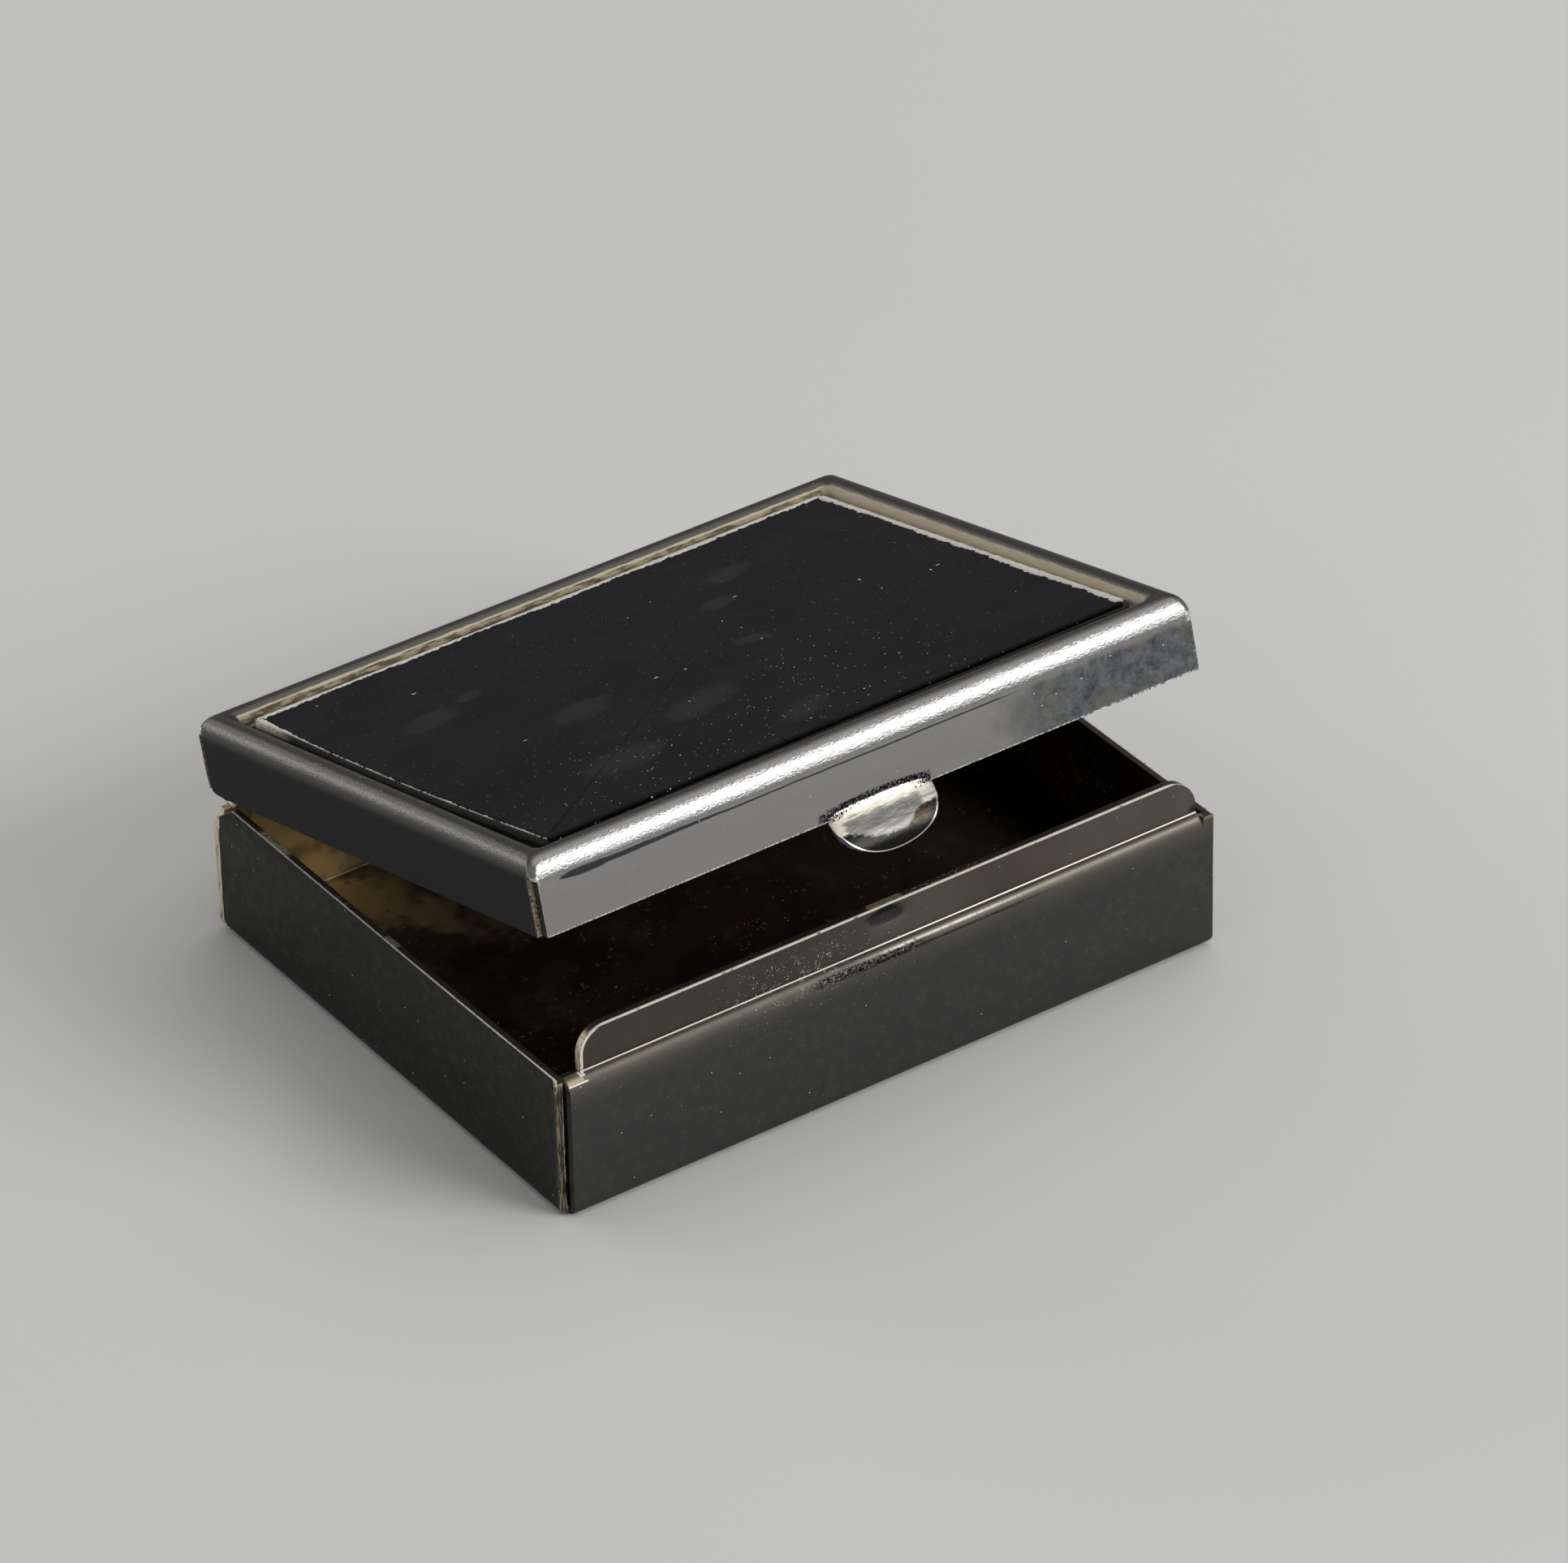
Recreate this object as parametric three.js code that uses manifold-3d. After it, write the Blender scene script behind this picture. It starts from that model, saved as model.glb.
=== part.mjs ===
// Small folded-sheet pillbox, hinged along its back, standing a little open.
// Millimetres, +X to the right along the front, +Y to the back, +Z up.
// The origin is the middle of the underside of the base.
import * as THREE from "three";
import { mergeVertices } from "three/addons/utils/BufferGeometryUtils.js";
import Module from "manifold-3d";

const wasm = await Module();
wasm.setup();

// Sheet and outline shared by the base and the lid.
const WIDTH = 52;
const DEPTH = 42;
const SHEET = 0.55;
const SEAM = 0.1; // slit between two folded walls that meet at a corner
const CORNER_RADIUS = 0.6; // rounding of the lid's corners above the seams

// Base tray.
const BASE_HEIGHT = 10.5; // underside to the top of the side walls
const BASE_BACK_INSET = 0.5; // base's back wall to the plane of the lid's back skirt
const BOTTOM_BEND = 0.7; // outer radius between the floor and a wall
const SHOULDER_BEND = 0.5; // outer radius where the front wall turns in
const LIP_HEIGHT = 3.1; // closing lip above the shoulder
const LIP_CLEARANCE = 0.2; // lip to the inside of the lid's front skirt
const LIP_MARGIN_LEFT = 2.0; // corner of the box to the lip's end
const LIP_MARGIN_RIGHT = 0.9;
const LIP_RADIUS_LEFT = 1.9;
const LIP_RADIUS_RIGHT = 2.6;
const DIMPLE_OFFSET = 0.1; // dimple from the middle of the width
const DIMPLE_DROP = 0.95; // dimple's centre below the lip's top edge
const DIMPLE_WIDTH = 3.6;
const DIMPLE_HEIGHT = 1.7;
const DIMPLE_DEPTH = 0.35;

// Lid shell, heights from the lower edge of its skirt.
const LID_HEIGHT = 5.4;
const PARTING_GAP = 0.3; // lid's skirt to the base's walls when closed
const FRAME_WIDTH = 2.1; // raised bead round the recess
const FRAME_ROUND = 1.0; // radius of the bead's outer and inner edges
const RECESS_DEPTH = 1.2; // top of the bead to the recessed panel
const SEAM_BELOW_BEAD = 0.1; // the corner seams stop this far under the bead

// Thumb tab, formed from the front skirt.
const TAB_WIDTH = 8.4;
const TAB_OFFSET = -0.1; // tab's middle from the middle of the width
const TAB_DROP = 3.2; // lower edge of the skirt to the tab's tip
const TAB_RISE = 0.85; // the bend starts this far above the skirt's edge
const TAB_REACH = 1.65; // how far the tab stands out

// Inlay in the lid's recess.
const INLAY_GAP_LEFT = 1.05; // recess wall to the inlay
const INLAY_GAP_RIGHT = 0.45;
const INLAY_GAP_FRONT = 1.35;
const INLAY_GAP_BACK = 0.35;
const INLAY_TURN = THREE.MathUtils.degToRad(0.5); // it was laid in a little askew
const INLAY_THICKNESS = 0.4;
const INLAY_RADIUS = 0.9;
const ADHESIVE_THICKNESS = 0.15;
const ADHESIVE_MARGIN = 0.1; // adhesive shows this far past the inlay's edge
const REST_GAP = 0.05; // between two pieces that lie on each other

// Hinge.
const KNUCKLE_RADIUS = 1.1;
const BORE_RADIUS = 0.62;
const PIN_RADIUS = 0.54;
const BACK_INSET = 0.05; // knuckles to the plane of the lid's back skirt
const KNUCKLE_COUNT = 5;
const KNUCKLE_GAP = 0.3;
const HINGE_END_GAP = 0.35; // end knuckles to the inside of the side walls
const PIN_PROUD = 0.12; // pin past the end knuckles
const BACK_RELIEF = 1.25; // hinge axis to the edges of the two back walls
const BASE_CORNER_CUT = [2.4, 1.3]; // side wall's back corner: length, drop
const LID_CORNER_CUT = [1.3, 0.55]; // side skirt's back corner: length, rise
const BACK_END_CUT = [0.6, 1.2]; // back wall's end corners: length, drop
const OPEN_ANGLE = THREE.MathUtils.degToRad(14.8);

// Facets.
const BEND_STEPS = 5;
const ROUND_STEPS = 28;
const CUT_MARGIN = 1; // cutting tools run this far past what they cut
const END_BEND_EXTRA = 0.1; // keeps two bends that meet from lying on each other

// Sizes that follow from the ones above.
const LEFT = -WIDTH / 2;
const RIGHT = WIDTH / 2;
const FRONT = -DEPTH / 2;
const BACK = DEPTH / 2;
const BASE_BACK = BACK - BASE_BACK_INSET;
const NOTCH = SHEET + SEAM;
const LIP_INSET = SHEET + LIP_CLEARANCE;
const LIP_TOP = BASE_HEIGHT + LIP_HEIGHT;
const LID_BOTTOM = BASE_HEIGHT + PARTING_GAP;
const AXIS_Y = BACK - BACK_INSET - KNUCKLE_RADIUS;
const AXIS_Z = BASE_HEIGHT + PARTING_GAP / 2;
const PANEL_TOP = LID_HEIGHT - RECESS_DEPTH;
const SEAM_TOP = LID_HEIGHT - FRAME_ROUND - SEAM_BELOW_BEAD;

const X = new THREE.Vector3(1, 0, 0);
const Y = new THREE.Vector3(0, 1, 0);
const Z = new THREE.Vector3(0, 0, 1);

// Finishes as three.js materials.
const platedSteel = () =>
  new THREE.MeshStandardMaterial({ color: 0xb3b0a8, roughness: 0.28, metalness: 1 });
const brass = () =>
  new THREE.MeshStandardMaterial({ color: 0xc9a878, roughness: 0.35, metalness: 1 });
const blackGloss = () =>
  new THREE.MeshStandardMaterial({ color: 0x0b0b0c, roughness: 0.12, metalness: 0 });
const paleAdhesive = () =>
  new THREE.MeshStandardMaterial({ color: 0xd9cdb8, roughness: 0.8, metalness: 0 });
const steelWire = () =>
  new THREE.MeshStandardMaterial({ color: 0x9a9890, roughness: 0.4, metalness: 1 });

// A closed geometry as a solid that can be cut and joined.
function solidOf(geometry) {
  const bare = new THREE.BufferGeometry();
  const open = geometry.index ? geometry.toNonIndexed() : geometry;
  bare.setAttribute("position", open.getAttribute("position"));
  const merged = mergeVertices(bare, 1e-4);
  return new wasm.Manifold(
    new wasm.Mesh({
      numProp: 3,
      vertProperties: new Float32Array(merged.attributes.position.array),
      triVerts: new Uint32Array(merged.index.array),
    }),
  );
}

// A finished solid as a named mesh.
function meshOf(name, solid, material) {
  const data = solid.getMesh();
  const points = new Float32Array(data.numVert * 3);
  for (let i = 0; i < data.numVert; i++) {
    const first = i * data.numProp;
    points.set(data.vertProperties.subarray(first, first + 3), i * 3);
  }
  const geometry = new THREE.BufferGeometry();
  geometry.setAttribute("position", new THREE.BufferAttribute(points, 3));
  geometry.setIndex(new THREE.BufferAttribute(new Uint32Array(data.triVerts), 1));
  const mesh = new THREE.Mesh(geometry, material);
  mesh.name = name;
  return mesh;
}

const toPoint = ([x, y]) => new THREE.Vector2(x, y);

// An outline pushed through a distance, before it is placed.
function pushed(outline, depth) {
  const shape = Array.isArray(outline) ? new THREE.Shape(outline.map(toPoint)) : outline;
  const settings = { depth, bevelEnabled: false, curveSegments: 6 };
  return new THREE.ExtrudeGeometry(shape, settings);
}

// Section in the Y-Z plane that runs along +X from a start.
function alongX(outline, from, to) {
  const place = new THREE.Matrix4().makeBasis(Y, Z, X);
  return pushed(outline, to - from).applyMatrix4(place).translate(from, 0, 0);
}

// Outline in the X-Z plane that runs along Y between two values.
function alongY(outline, from, to) {
  const place = new THREE.Matrix4().makeBasis(X, Z, Y.clone().negate());
  return pushed(outline, to - from).applyMatrix4(place).translate(0, to, 0);
}

function box(x0, x1, y0, y1, z0, z1) {
  const geometry = new THREE.BoxGeometry(x1 - x0, y1 - y0, z1 - z0);
  return solidOf(geometry.translate((x0 + x1) / 2, (y0 + y1) / 2, (z0 + z1) / 2));
}

// Points on a circular arc, both ends included.
function arc(cx, cy, rx, ry, from, to, steps = BEND_STEPS) {
  return Array.from({ length: steps + 1 }, (_, i) => {
    const angle = THREE.MathUtils.degToRad(from + ((to - from) * i) / steps);
    return [cx + rx * Math.cos(angle), cy + ry * Math.sin(angle)];
  });
}

// A block over the whole outline, drawn in by an inset, with rounded lower edges.
function bottomRounded(inset, bottom, radius) {
  const depth = BASE_HEIGHT + CUT_MARGIN - bottom;
  const geometry = new THREE.ExtrudeGeometry(rectangle(inset, BASE_BACK), {
    depth,
    bevelEnabled: true,
    bevelThickness: radius,
    bevelSize: radius,
    bevelOffset: -radius,
    bevelSegments: BEND_STEPS,
  });
  return solidOf(geometry.translate(0, 0, bottom + radius));
}

// Floor and four walls before the seams and the hinge cuts.
function trayPressing() {
  const outside = bottomRounded(0, 0, BOTTOM_BEND);
  const inside = bottomRounded(SHEET, SHEET, BOTTOM_BEND - SHEET);
  const far = WIDTH + DEPTH;
  const above = box(-far, far, -far, far, BASE_HEIGHT, 2 * far);
  return outside.subtract(inside).subtract(above);
}

// Open corner seams of the walls. The front wall covers the right wall's end and the back
// wall covers both side walls, but at the front left corner both ends show.
function traySeams() {
  const inner = NOTCH + SHEET / 2;
  const out = CUT_MARGIN;
  const [low, high] = [-out, BASE_HEIGHT + out];
  const [backLow, backHigh] = [BASE_BACK - NOTCH, BASE_BACK - SHEET];
  return [
    box(LEFT - out, LEFT + NOTCH, FRONT - out, FRONT + NOTCH, low, high),
    box(RIGHT - inner, RIGHT + out, FRONT + SHEET, FRONT + NOTCH, low, high),
    box(LEFT - out, LEFT + inner, backLow, backHigh, low, high),
    box(RIGHT - inner, RIGHT + out, backLow, backHigh, low, high),
  ];
}

// What the hinge needs cut from the walls: the back wall's edge and ends, and the side
// walls' back corners.
function trayHingeCuts() {
  const top = AXIS_Z - BACK_RELIEF;
  const high = BASE_HEIGHT + CUT_MARGIN;
  const inner = BASE_BACK - SHEET - SEAM / 2;
  const out = CUT_MARGIN;
  const [cut, drop] = BASE_CORNER_CUT;
  const [endCut, endDrop] = BACK_END_CUT;
  const slope = drop / (cut - NOTCH);
  const corner = [
    [BASE_BACK - cut - out / slope, high],
    [BASE_BACK - NOTCH + out, BASE_HEIGHT - drop - out * slope],
    [BASE_BACK - NOTCH + out, high],
  ];
  const end = [
    [LEFT - out, top - endDrop - (out * endDrop) / endCut],
    [LEFT + endCut + out, top + (out * endDrop) / endCut],
    [LEFT - out, top + (out * endDrop) / endCut],
  ];
  const leftEnd = solidOf(alongY(end, inner, BACK + out));
  return [
    box(LEFT - out, RIGHT + out, inner, BACK + out, top, high),
    solidOf(alongX(corner, LEFT - out, RIGHT + out)),
    leftEnd,
    leftEnd.mirror([1, 0, 0]),
  ];
}

// The front wall's rounded shoulder, as what has to go.
function shoulderCut() {
  const bend = SHOULDER_BEND;
  const out = CUT_MARGIN;
  const outline = [
    ...arc(FRONT + bend, BASE_HEIGHT - bend, bend, bend, 180, 90),
    [FRONT + bend, BASE_HEIGHT + out],
    [FRONT - out, BASE_HEIGHT + out],
    [FRONT - out, BASE_HEIGHT - bend],
  ];
  return solidOf(alongX(outline.reverse(), LEFT - out, RIGHT - LIP_MARGIN_RIGHT));
}

// The back wall's bend runs on to the wall's two ends.
function backEndBends() {
  const bend = BOTTOM_BEND + END_BEND_EXTRA;
  const section = [
    ...arc(BASE_BACK - bend, bend, bend, bend, 270, 360),
    [BASE_BACK - SHEET / 2, bend],
    [BASE_BACK - bend, SHEET / 2],
  ];
  const left = solidOf(alongX(section, LEFT, LEFT + BOTTOM_BEND + SHEET));
  return [left, left.mirror([1, 0, 0])];
}

// Closing lip: the front wall's sheet turns in at the shoulder and rises again.
function closingLip() {
  const outer = FRONT + LIP_INSET;
  const section = [
    [FRONT + SHEET / 2, BASE_HEIGHT - SHEET],
    [outer + SHEET, BASE_HEIGHT - SHEET],
    [outer + SHEET, LIP_TOP],
    [outer, LIP_TOP],
    [outer, BASE_HEIGHT],
    [FRONT + SHEET / 2, BASE_HEIGHT],
  ];
  const [from, to] = [LEFT + LIP_MARGIN_LEFT, RIGHT - LIP_MARGIN_RIGHT];
  const [left, right] = [LIP_RADIUS_LEFT, LIP_RADIUS_RIGHT];
  const [ledgeFrom, ledgeTo] = [LEFT + NOTCH, to];
  const outline = [
    [ledgeFrom, BASE_HEIGHT - 2 * SHEET],
    [ledgeTo, BASE_HEIGHT - 2 * SHEET],
    ...arc(to - right, LIP_TOP - right, right, right, 0, 90),
    ...arc(from + left, LIP_TOP - left, left, left, 90, 180),
    [from, BASE_HEIGHT],
    [ledgeFrom, BASE_HEIGHT],
  ];
  const sheet = solidOf(alongX(section, LEFT, RIGHT));
  return sheet.intersect(solidOf(alongY(outline, FRONT - CUT_MARGIN, FRONT + BASE_HEIGHT)));
}

// Pressed detent in the lip: hollow in front, raised behind.
function dimpled(tray) {
  const x = DIMPLE_OFFSET;
  const y = FRONT + LIP_INSET;
  const z = LIP_TOP - DIMPLE_DROP;
  const ball = (grow) =>
    solidOf(
      new THREE.SphereGeometry(1, 20, 12)
        .scale(DIMPLE_WIDTH / 2 + grow, DIMPLE_DEPTH + grow, DIMPLE_HEIGHT / 2 + grow)
        .translate(x, y, z),
    );
  const reach = DIMPLE_WIDTH + SHEET;
  const behind = box(x - reach, x + reach, y, y + reach, BASE_HEIGHT, LIP_TOP);
  return tray.add(ball(SHEET).intersect(behind)).subtract(ball(0));
}

function baseTray() {
  let tray = trayPressing();
  for (const tool of [...traySeams(), ...trayHingeCuts(), shoulderCut()]) {
    tray = tray.subtract(tool);
  }
  for (const bend of [closingLip(), ...backEndBends()]) tray = tray.add(bend);
  return meshOf("base_tray", dimpled(tray), platedSteel());
}

// The plan drawn in by an inset; the base's back plane is not the lid's.
function rectangle(inset, back, PathClass = THREE.Shape) {
  const path = new PathClass();
  path.moveTo(LEFT + inset, FRONT + inset);
  path.lineTo(RIGHT - inset, FRONT + inset);
  path.lineTo(RIGHT - inset, back - inset);
  path.lineTo(LEFT + inset, back - inset);
  path.closePath();
  return path;
}

function roundedRectangle(x0, x1, y0, y1, radius) {
  const shape = new THREE.Shape();
  shape.moveTo(x0 + radius, y0);
  shape.lineTo(x1 - radius, y0);
  shape.absarc(x1 - radius, y0 + radius, radius, -Math.PI / 2, 0);
  shape.lineTo(x1, y1 - radius);
  shape.absarc(x1 - radius, y1 - radius, radius, 0, Math.PI / 2);
  shape.lineTo(x0 + radius, y1);
  shape.absarc(x0 + radius, y1 - radius, radius, Math.PI / 2, Math.PI);
  shape.lineTo(x0, y0 + radius);
  shape.absarc(x0 + radius, y0 + radius, radius, Math.PI, 1.5 * Math.PI);
  return shape;
}

// A rectangular ring whose top edges are rounded, reaching below the skirt's edge.
function roundedRing(outerInset, innerInset, top, radius) {
  const shape = rectangle(outerInset, BACK);
  shape.holes.push(rectangle(innerInset, BACK, THREE.Path));
  const bottom = -CUT_MARGIN - radius;
  const geometry = new THREE.ExtrudeGeometry(shape, {
    depth: top - bottom - 2 * radius,
    bevelEnabled: true,
    bevelThickness: radius,
    bevelSize: radius,
    bevelOffset: -radius,
    bevelSegments: BEND_STEPS,
  });
  return solidOf(geometry.translate(0, 0, bottom + radius));
}

// A plate over the outline, drawn in by an inset.
function plate(inset, z0, z1) {
  return box(LEFT + inset, RIGHT - inset, FRONT + inset, BACK - inset, z0, z1);
}

// The formed sheet of the lid before seams and hinge cuts.
function lidPressing() {
  const bead = roundedRing(0, FRAME_WIDTH, LID_HEIGHT, FRAME_ROUND);
  const panel = plate(FRAME_WIDTH - SHEET / 2, PANEL_TOP - SHEET, PANEL_TOP);
  const beadInside = roundedRing(
    SHEET, FRAME_WIDTH - SHEET, LID_HEIGHT - SHEET, FRAME_ROUND - SHEET,
  );
  const underPanel = plate(SHEET, -CUT_MARGIN, PANEL_TOP - SHEET);
  const plan = roundedRectangle(LEFT, RIGHT, FRONT, BACK, CORNER_RADIUS);
  const corners = solidOf(pushed(plan, LID_HEIGHT + CUT_MARGIN));
  return bead.add(panel).subtract(beadInside).subtract(underPanel).intersect(corners);
}

// Open corner seams of the skirt. The front and back skirts cover the side skirts' ends,
// but at the front left corner both ends show.
function lidSeams() {
  const low = -CUT_MARGIN;
  const inner = NOTCH + SHEET / 2;
  const out = CUT_MARGIN;
  return [
    box(LEFT - out, LEFT + NOTCH, FRONT - out, FRONT + NOTCH, low, SEAM_TOP),
    box(RIGHT - inner, RIGHT + out, FRONT + SHEET, FRONT + NOTCH, low, SEAM_TOP),
    box(LEFT - out, LEFT + inner, BACK - NOTCH, BACK - SHEET, low, SEAM_TOP),
    box(RIGHT - inner, RIGHT + out, BACK - NOTCH, BACK - SHEET, low, SEAM_TOP),
  ];
}

// What the hinge needs cut from the lid: the back skirt's edge and the side skirts' corners.
function lidHingeCuts() {
  const edge = AXIS_Z + BACK_RELIEF - LID_BOTTOM;
  const [cut, rise] = LID_CORNER_CUT;
  const corner = [
    [BACK - cut - CUT_MARGIN, -CUT_MARGIN * (rise / cut)],
    [BACK + CUT_MARGIN, -CUT_MARGIN],
    [BACK + CUT_MARGIN, rise + CUT_MARGIN * (rise / cut)],
  ];
  const out = CUT_MARGIN;
  return [
    box(LEFT - out, RIGHT + out, BACK - SHEET, BACK + out, -out, edge),
    solidOf(alongX(corner, LEFT - out, RIGHT + out)),
  ];
}

// Side view of the thumb tab's sheet: outer face down, inner face back up.
function tabSection() {
  const outer = [
    [0, TAB_RISE],
    [-0.4 * TAB_REACH, -0.12 * TAB_DROP],
    [-0.7 * TAB_REACH, -0.34 * TAB_DROP],
    [-0.91 * TAB_REACH, -0.57 * TAB_DROP],
    [-TAB_REACH, -0.8 * TAB_DROP],
    [-0.99 * TAB_REACH, -TAB_DROP],
  ];
  const curve = new THREE.CatmullRomCurve3(outer.map(([y, z]) => new THREE.Vector3(0, y, z)));
  const steps = 2 * BEND_STEPS;
  const sides = { outer: [], inner: [] };
  for (let i = 0; i <= steps; i++) {
    const at = curve.getPoint(i / steps);
    const way = curve.getTangent(i / steps);
    sides.outer.push([FRONT + at.y, at.z]);
    sides.inner.push([FRONT + at.y - SHEET * way.z, at.z + SHEET * way.y]);
  }
  return [...sides.outer, ...sides.inner.reverse()];
}

function thumbTab() {
  const half = TAB_WIDTH / 2;
  const steps = 3 * BEND_STEPS;
  const outline = [
    ...arc(TAB_OFFSET, 0, half, TAB_DROP, 180, 360, steps),
    ...arc(TAB_OFFSET, 0, half, TAB_RISE, 0, 180, BEND_STEPS).slice(1, -1),
  ];
  const sheet = solidOf(alongX(tabSection(), TAB_OFFSET - half, TAB_OFFSET + half));
  const reach = TAB_REACH + CUT_MARGIN;
  return sheet.intersect(solidOf(alongY(outline, FRONT - reach, FRONT + reach)));
}

function lidShell() {
  let shell = lidPressing();
  for (const tool of [...lidSeams(), ...lidHingeCuts()]) shell = shell.subtract(tool);
  return meshOf("lid_shell", shell.add(thumbTab()), platedSteel());
}

// A thin plate that lies in the recess.
function recessPlate(margin, bottom, thickness) {
  const gap = FRAME_WIDTH - margin;
  const [x0, x1] = [LEFT + gap + INLAY_GAP_LEFT, RIGHT - gap - INLAY_GAP_RIGHT];
  const [y0, y1] = [FRONT + gap + INLAY_GAP_FRONT, BACK - gap - INLAY_GAP_BACK];
  const shape = roundedRectangle(x0, x1, y0, y1, INLAY_RADIUS);
  const [x, y] = [(x0 + x1) / 2, (y0 + y1) / 2];
  const sheet = pushed(shape, thickness).translate(-x, -y, 0).rotateZ(INLAY_TURN);
  return solidOf(sheet.translate(x, y, bottom));
}

function inlayAdhesive() {
  const bottom = PANEL_TOP + REST_GAP;
  const sheet = recessPlate(ADHESIVE_MARGIN, bottom, ADHESIVE_THICKNESS);
  return meshOf("inlay_adhesive", sheet, paleAdhesive());
}

function lidInlay() {
  const bottom = PANEL_TOP + ADHESIVE_THICKNESS + 2 * REST_GAP;
  return meshOf("lid_inlay", recessPlate(0, bottom, INLAY_THICKNESS), blackGloss());
}

// Where the knuckles stand along the hinge line.
function knuckleSpans() {
  const start = LEFT + SHEET + HINGE_END_GAP;
  const end = RIGHT - SHEET - HINGE_END_GAP;
  const length = (end - start - KNUCKLE_GAP * (KNUCKLE_COUNT - 1)) / KNUCKLE_COUNT;
  return Array.from({ length: KNUCKLE_COUNT }, (_, i) => {
    const from = start + i * (length + KNUCKLE_GAP);
    return [from, from + length];
  });
}

// A tube round the hinge line, in a frame whose origin is on that line.
function knuckle(index, from, to) {
  const ring = new THREE.Shape();
  ring.absarc(0, 0, KNUCKLE_RADIUS, 0, 2 * Math.PI);
  const bore = new THREE.Path();
  bore.absarc(0, 0, BORE_RADIUS, 0, 2 * Math.PI, true);
  ring.holes.push(bore);
  const settings = { depth: to - from, bevelEnabled: false, curveSegments: ROUND_STEPS / 2 };
  const tube = new THREE.ExtrudeGeometry(ring, settings);
  tube.applyMatrix4(new THREE.Matrix4().makeBasis(Y, Z, X)).translate(from, 0, 0);
  return meshOf("hinge_knuckle_" + (index + 1), solidOf(tube), brass());
}

function hingePin() {
  const spans = knuckleSpans();
  const from = spans[0][0] - PIN_PROUD;
  const to = spans[spans.length - 1][1] + PIN_PROUD;
  const wire = new THREE.CylinderGeometry(PIN_RADIUS, PIN_RADIUS, to - from, ROUND_STEPS / 2);
  wire.rotateZ(Math.PI / 2).translate((from + to) / 2, 0, 0);
  return meshOf("hinge_pin", solidOf(wire), steelWire());
}

function pillbox() {
  const whole = new THREE.Group();
  const base = new THREE.Group();
  const hinge = new THREE.Group();
  const lid = new THREE.Group();
  const closedLid = new THREE.Group();
  base.add(baseTray());
  hinge.position.set(0, AXIS_Y, AXIS_Z);
  hinge.add(hingePin());
  lid.position.copy(hinge.position);
  lid.rotation.x = -OPEN_ANGLE;
  closedLid.position.set(0, -AXIS_Y, LID_BOTTOM - AXIS_Z);
  closedLid.add(lidShell(), inlayAdhesive(), lidInlay());
  lid.add(closedLid);
  knuckleSpans().forEach(([from, to], i) => {
    const carrier = i % 2 === 0 ? hinge : lid;
    carrier.add(knuckle(i, from, to));
  });
  whole.add(base, hinge, lid);
  return whole;
}

export default pillbox();
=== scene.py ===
"""Dresses the folded-sheet pillbox: finer sheets, inlay, glue and hinge, with their finishes."""
import logging
import math
from dataclasses import dataclass
from enum import Enum
from typing import Callable, Dict, List, Optional, Sequence, Tuple, Union

import bpy
import numpy as np
from mathutils import Matrix, Vector


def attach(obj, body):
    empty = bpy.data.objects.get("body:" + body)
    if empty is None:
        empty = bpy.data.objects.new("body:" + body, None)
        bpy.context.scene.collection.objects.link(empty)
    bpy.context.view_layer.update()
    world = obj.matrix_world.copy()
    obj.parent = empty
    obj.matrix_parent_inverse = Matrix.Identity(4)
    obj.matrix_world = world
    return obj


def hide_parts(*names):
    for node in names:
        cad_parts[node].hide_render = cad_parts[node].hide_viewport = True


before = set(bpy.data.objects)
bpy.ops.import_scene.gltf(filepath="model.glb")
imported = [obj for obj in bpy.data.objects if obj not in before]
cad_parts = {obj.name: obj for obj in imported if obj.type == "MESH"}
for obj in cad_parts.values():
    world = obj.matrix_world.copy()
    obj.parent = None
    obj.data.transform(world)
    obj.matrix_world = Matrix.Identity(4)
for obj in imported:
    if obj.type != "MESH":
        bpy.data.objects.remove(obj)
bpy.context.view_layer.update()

MM = 0.001
RIGHT_ANGLE = math.pi / 2
SHARP_BEND = math.radians(40)

# The box in millimetres, as the CAD has it.
HALF_WIDTH = 26.0
SHEET = 0.55
OPEN_ANGLE = math.radians(14.8)
HINGE_LINE = (0.0, 19.85, 10.65)
LID_BOTTOM = 10.8

log = logging.getLogger("pillbox")

Colour = Tuple[float, float, float]
Term = Union[float, int, "Value"]
Entry = Union[float, int, Sequence[float], "Value"]


class Slot(Enum):
    """The record's material slots."""

    PLATE = "plated_sheet"
    INLAY = "inlay"
    GLUE = "adhesive"
    TUBE = "hinge_tube"
    WIRE = "pin_wire"


class Body(Enum):
    """The CAD bodies that pieces ride on."""

    BASE = "base"
    LID = "lid"


# ---------------------------------------------------------------- shader maths


def _operator(operation: str, reflected: bool = False) -> Callable[["Value", Term], "Value"]:
    """An operator of Value that adds a Math node, its terms swapped where it is reflected."""

    def method(self: "Value", other: Term) -> "Value":
        """Adds the node."""
        return self.maths(operation, *((other, self) if reflected else (self, other)))

    return method


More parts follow.
